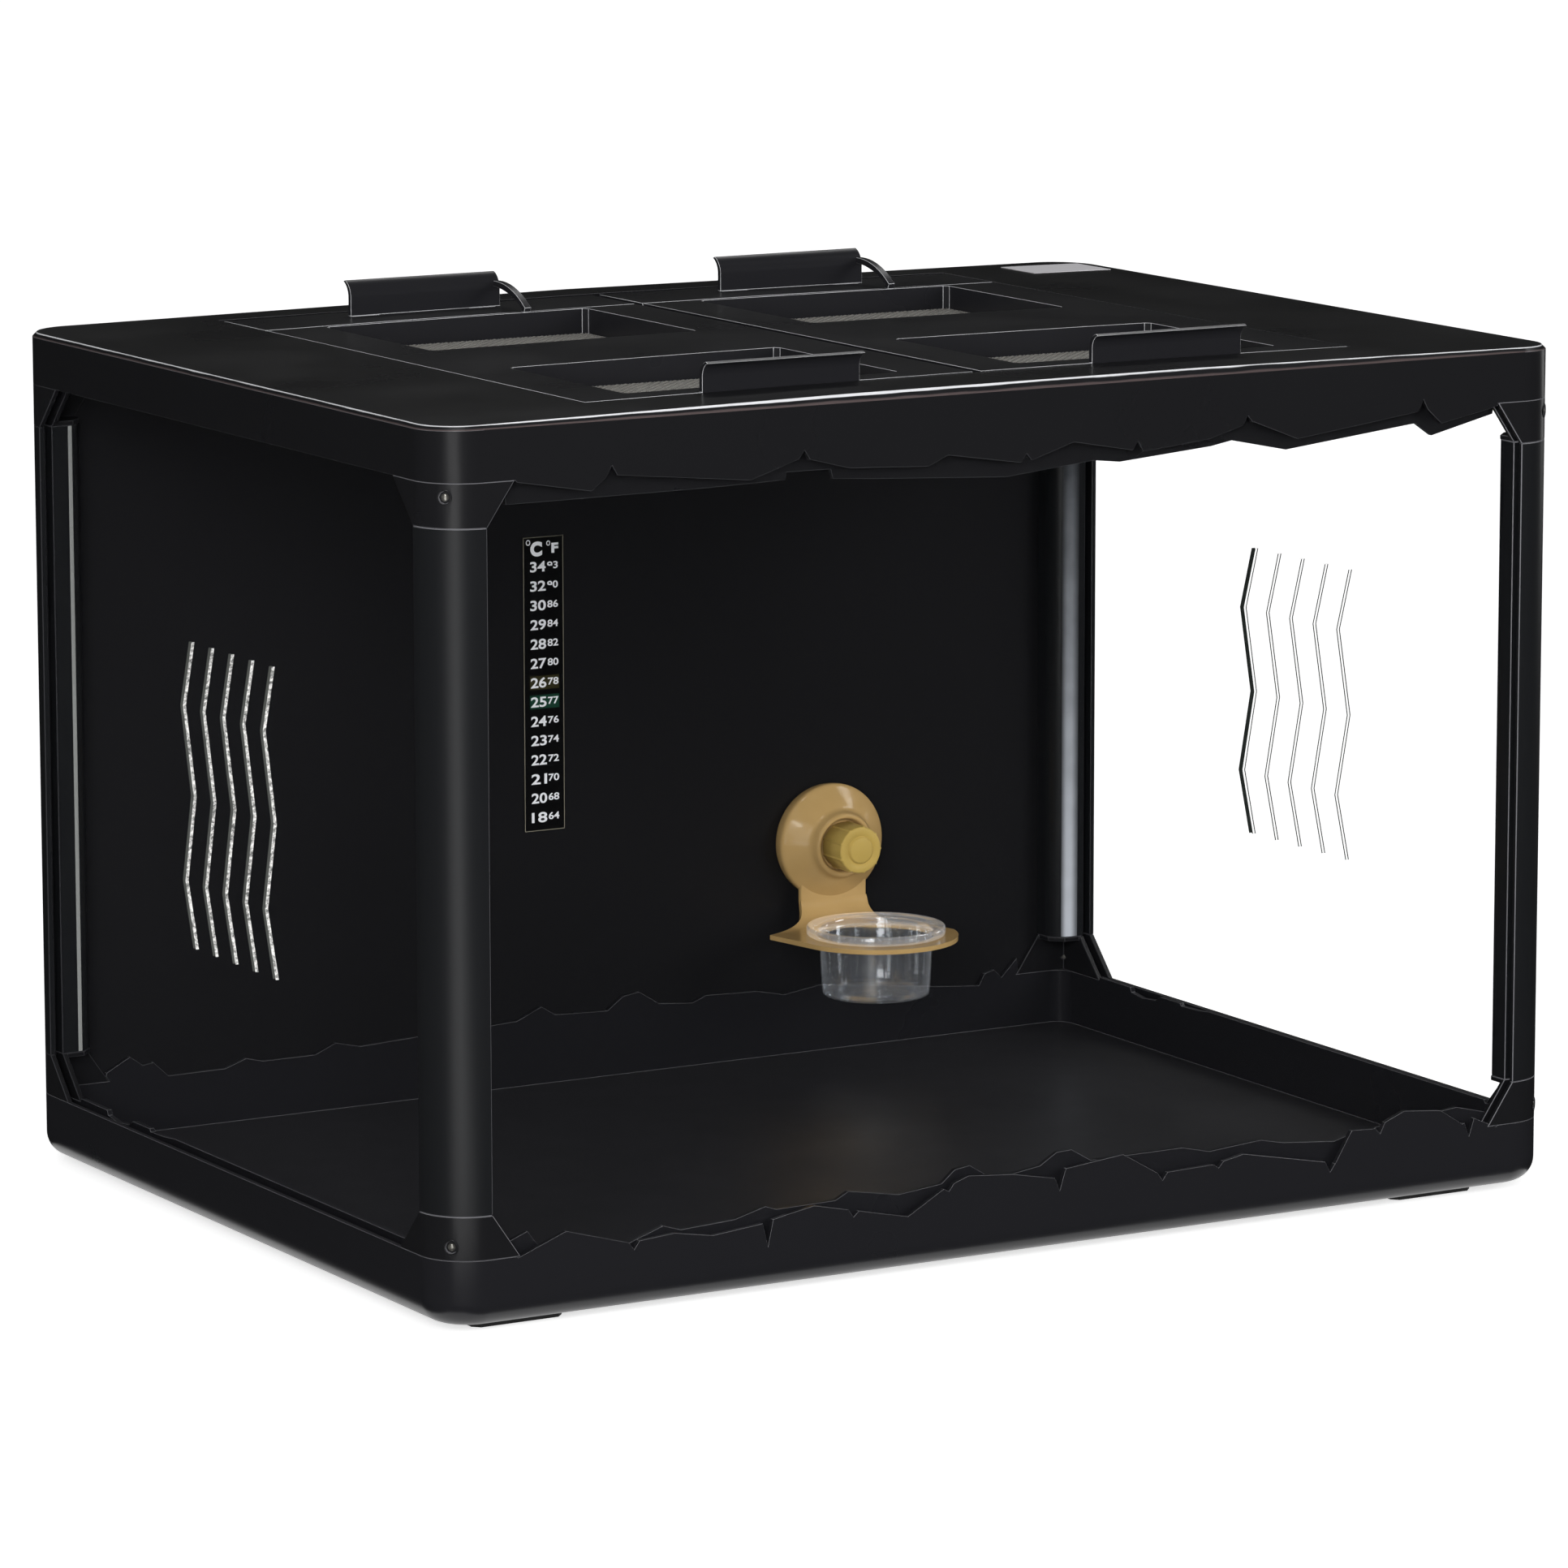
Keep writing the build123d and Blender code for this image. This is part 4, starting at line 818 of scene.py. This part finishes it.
# The dome's profile: radius from the knob's axis and distance from the panel, in mm.
dome_outside = smooth([(25.2, 0.6), (25.8, 2.4), (26.1, 4.8), (26.1, 6.4), (25.5, 7.6), (23.4, 9.3),
                       (20.6, 11.4), (18.0, 13.2), (16.3, 14.4), (15.3, 15.6), (14.7, 17.0), (14.2, 18.1),
                       (13.4, 18.8), (12.5, 18.7), (11.9, 17.9), (11.5, 16.7), (10.9, 15.7), (9.0, 15.3),
                       (3.2, 15.2)], 3)
dome_inside = smooth([(3.2, 13.4), (13.0, 12.4), (18.6, 9.4), (23.0, 6.2), (24.6, 3.4), (24.6, 0.7)], 2)
dome = placed(lathe(np.vstack([dome_outside, dome_inside]) * mm, 96, True), on_panel, (1, 0, 0), (0, -1, 0))

# The neck is a plate with soft front corners, between the ledge's bend and the dome.
ledge_top, ledge_thick, ring_hole, ring_edge = cup_z + 26.9 * mm, 2.1 * mm, 26.0, 36.5
neck_half, neck_face, neck_thick, neck_round, neck_root = 16.9, 8.7, 2.2, 0.9, 10.4
neck_sunk, neck_under_axis = 1.2, 6
cup_off = (panel_y - cup_y) / mm
plate = np.concatenate([
    arc(neck_half - neck_round, neck_face - neck_round, neck_round, 0, 90, 4),
    arc(neck_round - neck_half, neck_face - neck_round, neck_round, 90, 180, 4),
    [(-neck_half, neck_face - neck_thick), (neck_half, neck_face - neck_thick)]]) * mm
plate = np.column_stack([axis_x + plate[:, 0], panel_y - plate[:, 1]])
neck = extruded(plate, ledge_top + (neck_root - neck_sunk) * mm, axis_z - neck_under_axis * mm)

# The ledge, seen from above: from the neck's foot it flares to a wing on the left and runs on to
# the ring on the right, and it closes round the ring. Behind bend_from it bends up into the neck
# by neck_root·(1 - sqrt(1 - b^2)), where b goes from 0 there to 1 at the neck's face.
bend_from, wing, flare, ring_turn, under_bend = 23.6, 41.5, 1.7, 12, 0.98
right_side = [(18.2, 14.0), (21.0, 21.5), (26.6, 31.5), (32.2, 42.0), (35.0, 49.5)]
share = np.linspace(0, 1, 12)
side_x = neck_half + (wing - neck_half) * share ** flare
side_d = neck_face + (bend_from - neck_face) * share
corner_turn = np.degrees(np.arccos(ring_edge / np.hypot(wing, cup_off - bend_from)))
wing_turn = np.degrees(np.arctan2(bend_from - cup_off, wing))
left_side = np.concatenate([np.column_stack([side_x, side_d]),
                            arc(0, cup_off, ring_edge, wing_turn + corner_turn, 90, 26)[:-1]]) * (-1, 1)
outer = np.concatenate([
    np.column_stack([np.linspace(-neck_half, neck_half, 24)[1:-1], np.full(22, neck_face)]),
    smooth([(neck_half, neck_face)] + right_side, 4), arc(0, cup_off, ring_edge, ring_turn, 90, 26),
    left_side[::-1]])
way = outer - (0, cup_off)
way /= np.linalg.norm(way, axis=1)[:, None]
inner = way * ring_hole + (0, cup_off)
spread = np.sin(np.linspace(0, np.pi / 2, 14))[:, None, None]
flat = inner + (outer - inner) * spread
bend = np.clip((bend_from - flat[..., 1]) / (bend_from - neck_face), 0, 1)
lift = ledge_top + neck_root * mm * (1 - np.sqrt(1 - bend ** 2))
upper = np.stack([axis_x + flat[..., 0] * mm, panel_y - flat[..., 1] * mm, lift], axis=-1)
under = np.stack([np.zeros_like(bend), bend, -np.sqrt(1 - under_bend * bend ** 2)], axis=-1)
shell = np.concatenate([upper, (upper + ledge_thick * under)[::-1]])
ledge = (shell, grid_faces(len(shell), len(outer), True, True))
bracket = solid_from("tan_feeder_bracket", [dome, neck, ledge], tan, ["feeder_bracket"], crease=40.0)
round_edges(bracket, 2 * edge_width, 3, crease=50.0)

# Knob: olive polypropylene, a round grip with nine ribs and a raised disc on its face. The
# radius at an angle t is base + share·rib_height·max(0, cos(9t))^14, with the base, the distance
# from the panel and the share of each row below. It turns on the sucker's stud.
rib_count, rib_height, rib_sharpness, knob_steps = 9, 0.5, 14, 270
knob_rows = [(0, 16.3, 0), (9.9, 16.3, 1), (10.4, 16.8, 1), (10.4, 31.8, 1), (10.2, 32.3, 1),
             (9.7, 32.5, 0.5), (6.7, 32.5, 0), (6.45, 32.2, 0), (6.2, 32.2, 0), (6.0, 32.5, 0),
             (5.7, 33.1, 0), (5.2, 33.3, 0), (0, 33.3, 0)]
knob_base, knob_level, knob_rib = np.array(knob_rows).T
turn = 2 * np.pi * np.arange(knob_steps) / knob_steps
ribs = rib_height * np.maximum(0, np.cos(rib_count * turn)) ** rib_sharpness
radius = (knob_base[:, None] + knob_rib[:, None] * ribs) * mm
grip = np.stack([radius * np.cos(turn), radius * np.sin(turn),
                 np.broadcast_to(knob_level[:, None] * mm, radius.shape)], axis=-1)
knob = placed((grip, grid_faces(len(knob_rows), len(turn), False, True)), on_panel, (1, 0, 0), (0, -1, 0))
solid_from("olive_knob", [knob], tan_plastic("olive_polypropylene", "#bb9f52", "#c9ad60", (0.28, 0.36)),
           ["feeder_knob"], crease=60.0)

# Sucker: soft clear rubber, moulded in one with its stud and pressed flat on the panel under the
# dome. The stud comes out through the dome and carries the knob. It looks a little milky.
disc = smooth([(0, 0.15), (20, 0.1), (23.4, 0.3), (23.9, 0.9), (23.0, 1.6), (16, 2.5), (3.4, 2.9),
               (2.6, 4.0)], 3)
sucker = lathe(np.vstack([disc, [(2.5, 14.0), (2.4, 28.0), (0, 28.6)]]) * mm, 64)
solid_from("soft_sucker", [placed(sucker, on_panel, (1, 0, 0), (0, -1, 0))],
           tan_plastic("soft_clear_rubber", "#a89b78", "#b8ab88", (0.3, 0.4)), ["feeder_sucker"])

# Food cup: a thermoformed clear portion cup, thin-walled and tapered, with a rolled rim and a
# ring pressed into its base. Plastic this thin is nearly invisible face on and mirrors edge on.
wall_top, rim_foot = 0.0255, 0.0265
cup_plastic, cup_out = new_material("clear_polypropylene")
place = add(cup_plastic, "ShaderNodeTexCoord").outputs["Object"]
haze = add(cup_plastic, "ShaderNodeTexNoise", {"Scale": 160.0, "Detail": 4.0}, Vector=place)
rough = add(cup_plastic, "ShaderNodeMapRange", {"To Min": 0.05, "To Max": 0.12}, Value=haze.outputs["Fac"])
edge_on = add(cup_plastic, "ShaderNodeLayerWeight", {"Blend": 0.5})
steep = add(cup_plastic, "ShaderNodeMath", {"operation": "POWER", 1: 5.0}, i0=edge_on.outputs["Facing"])
height = add(cup_plastic, "ShaderNodeSeparateXYZ", {}, Vector=place)
in_rim = add(cup_plastic, "ShaderNodeMapRange", {"From Min": cup_z + wall_top, "From Max": cup_z + rim_foot},
             Value=height.outputs["Z"])
least = add(cup_plastic, "ShaderNodeMapRange", {"To Min": 0.022, "To Max": 0.20}, Value=in_rim.outputs[0])
most = add(cup_plastic, "ShaderNodeMapRange", {"To Min": 0.42, "To Max": 0.95}, Value=in_rim.outputs[0])
cover = add(cup_plastic, "ShaderNodeMapRange", {}, Value=steep.outputs[0], To_Min=least.outputs[0],
            To_Max=most.outputs[0])
body_skin = add(cup_plastic, "ShaderNodeBsdfPrincipled", {"Base Color": linear("#e6eaf0"), "Metallic": 0.25},
                Roughness=rough.outputs[0], Alpha=cover.outputs[0])
shine = add(cup_plastic, "ShaderNodeBsdfGlossy", {"Color": (0.34, 0.35, 0.36, 1)}, Roughness=rough.outputs[0])
finish(cup_plastic, cup_out, add(cup_plastic, "ShaderNodeAddShader", {}, i0=body_skin.outputs[0],
                                 i1=shine.outputs[0]))
# The cup's profile: radius and height over its foot, in mm.
cup_outside = smooth([(0, 0.9), (10, 0.9), (15.6, 0.9), (16.6, 0.4), (17.6, 1.1), (19.0, 0.3), (21.6, 0.0),
                      (23.0, 0.5), (23.7, 1.8), (24.3, 10), (24.8, 20), (25.2, 25.6)], 3)
cup_rim = smooth([(25.5, 26.8), (27.5, 27.2), (29.8, 27.0), (30.6, 27.5), (30.8, 28.9), (30.6, 30.6),
                  (29.9, 31.2), (28.9, 31.0), (27.8, 30.2), (26.2, 29.9), (25.2, 29.4)], 3)
cup_inside = smooth([(24.8, 28.2), (24.4, 20), (23.8, 10), (23.1, 2.2), (22.2, 1.2), (19.4, 1.1), (17.6, 1.8),
                     (16.4, 1.2), (15, 1.5), (8, 1.5), (0, 1.5)], 3)
cup = lathe(np.vstack([cup_outside, cup_rim, cup_inside]) * mm, 128)
solid_from("clear_food_cup", [placed(cup, (axis_x, cup_y, cup_z), (1, 0, 0), (0, 0, 1))], cup_plastic,
           ["food_cup"], crease=75.0)

# Sticker: blank label of silver-grey polyester film, stuck on the top frame's rear right corner. A
# faint brushed grain, 0.4 mm wide and about 12 mm long, dulls its shine.
sticker_film, sticker_out = new_material("silver_polyester_label")
place = add(sticker_film, "ShaderNodeTexCoord").outputs["Object"]
brush = add(sticker_film, "ShaderNodeMapping", {"Scale": (80.0, 2500.0, 1.0)}, Vector=place)
lines = add(sticker_film, "ShaderNodeTexNoise", {"Scale": 1.0, "Detail": 3.0}, Vector=brush.outputs[0])
tone = add(sticker_film, "ShaderNodeMix", {"data_type": "RGBA", 6: linear("#d2d0d4"), 7: linear("#ebe9ed")},
           Factor=lines.outputs["Fac"])
finish(sticker_film, sticker_out, add(sticker_film, "ShaderNodeBsdfPrincipled",
                                      {"Metallic": 0.1, "Roughness": 0.5}, Base_Color=tone.outputs[2]))
dressed_copy("blank_sticker", sticker_film, 0.0)
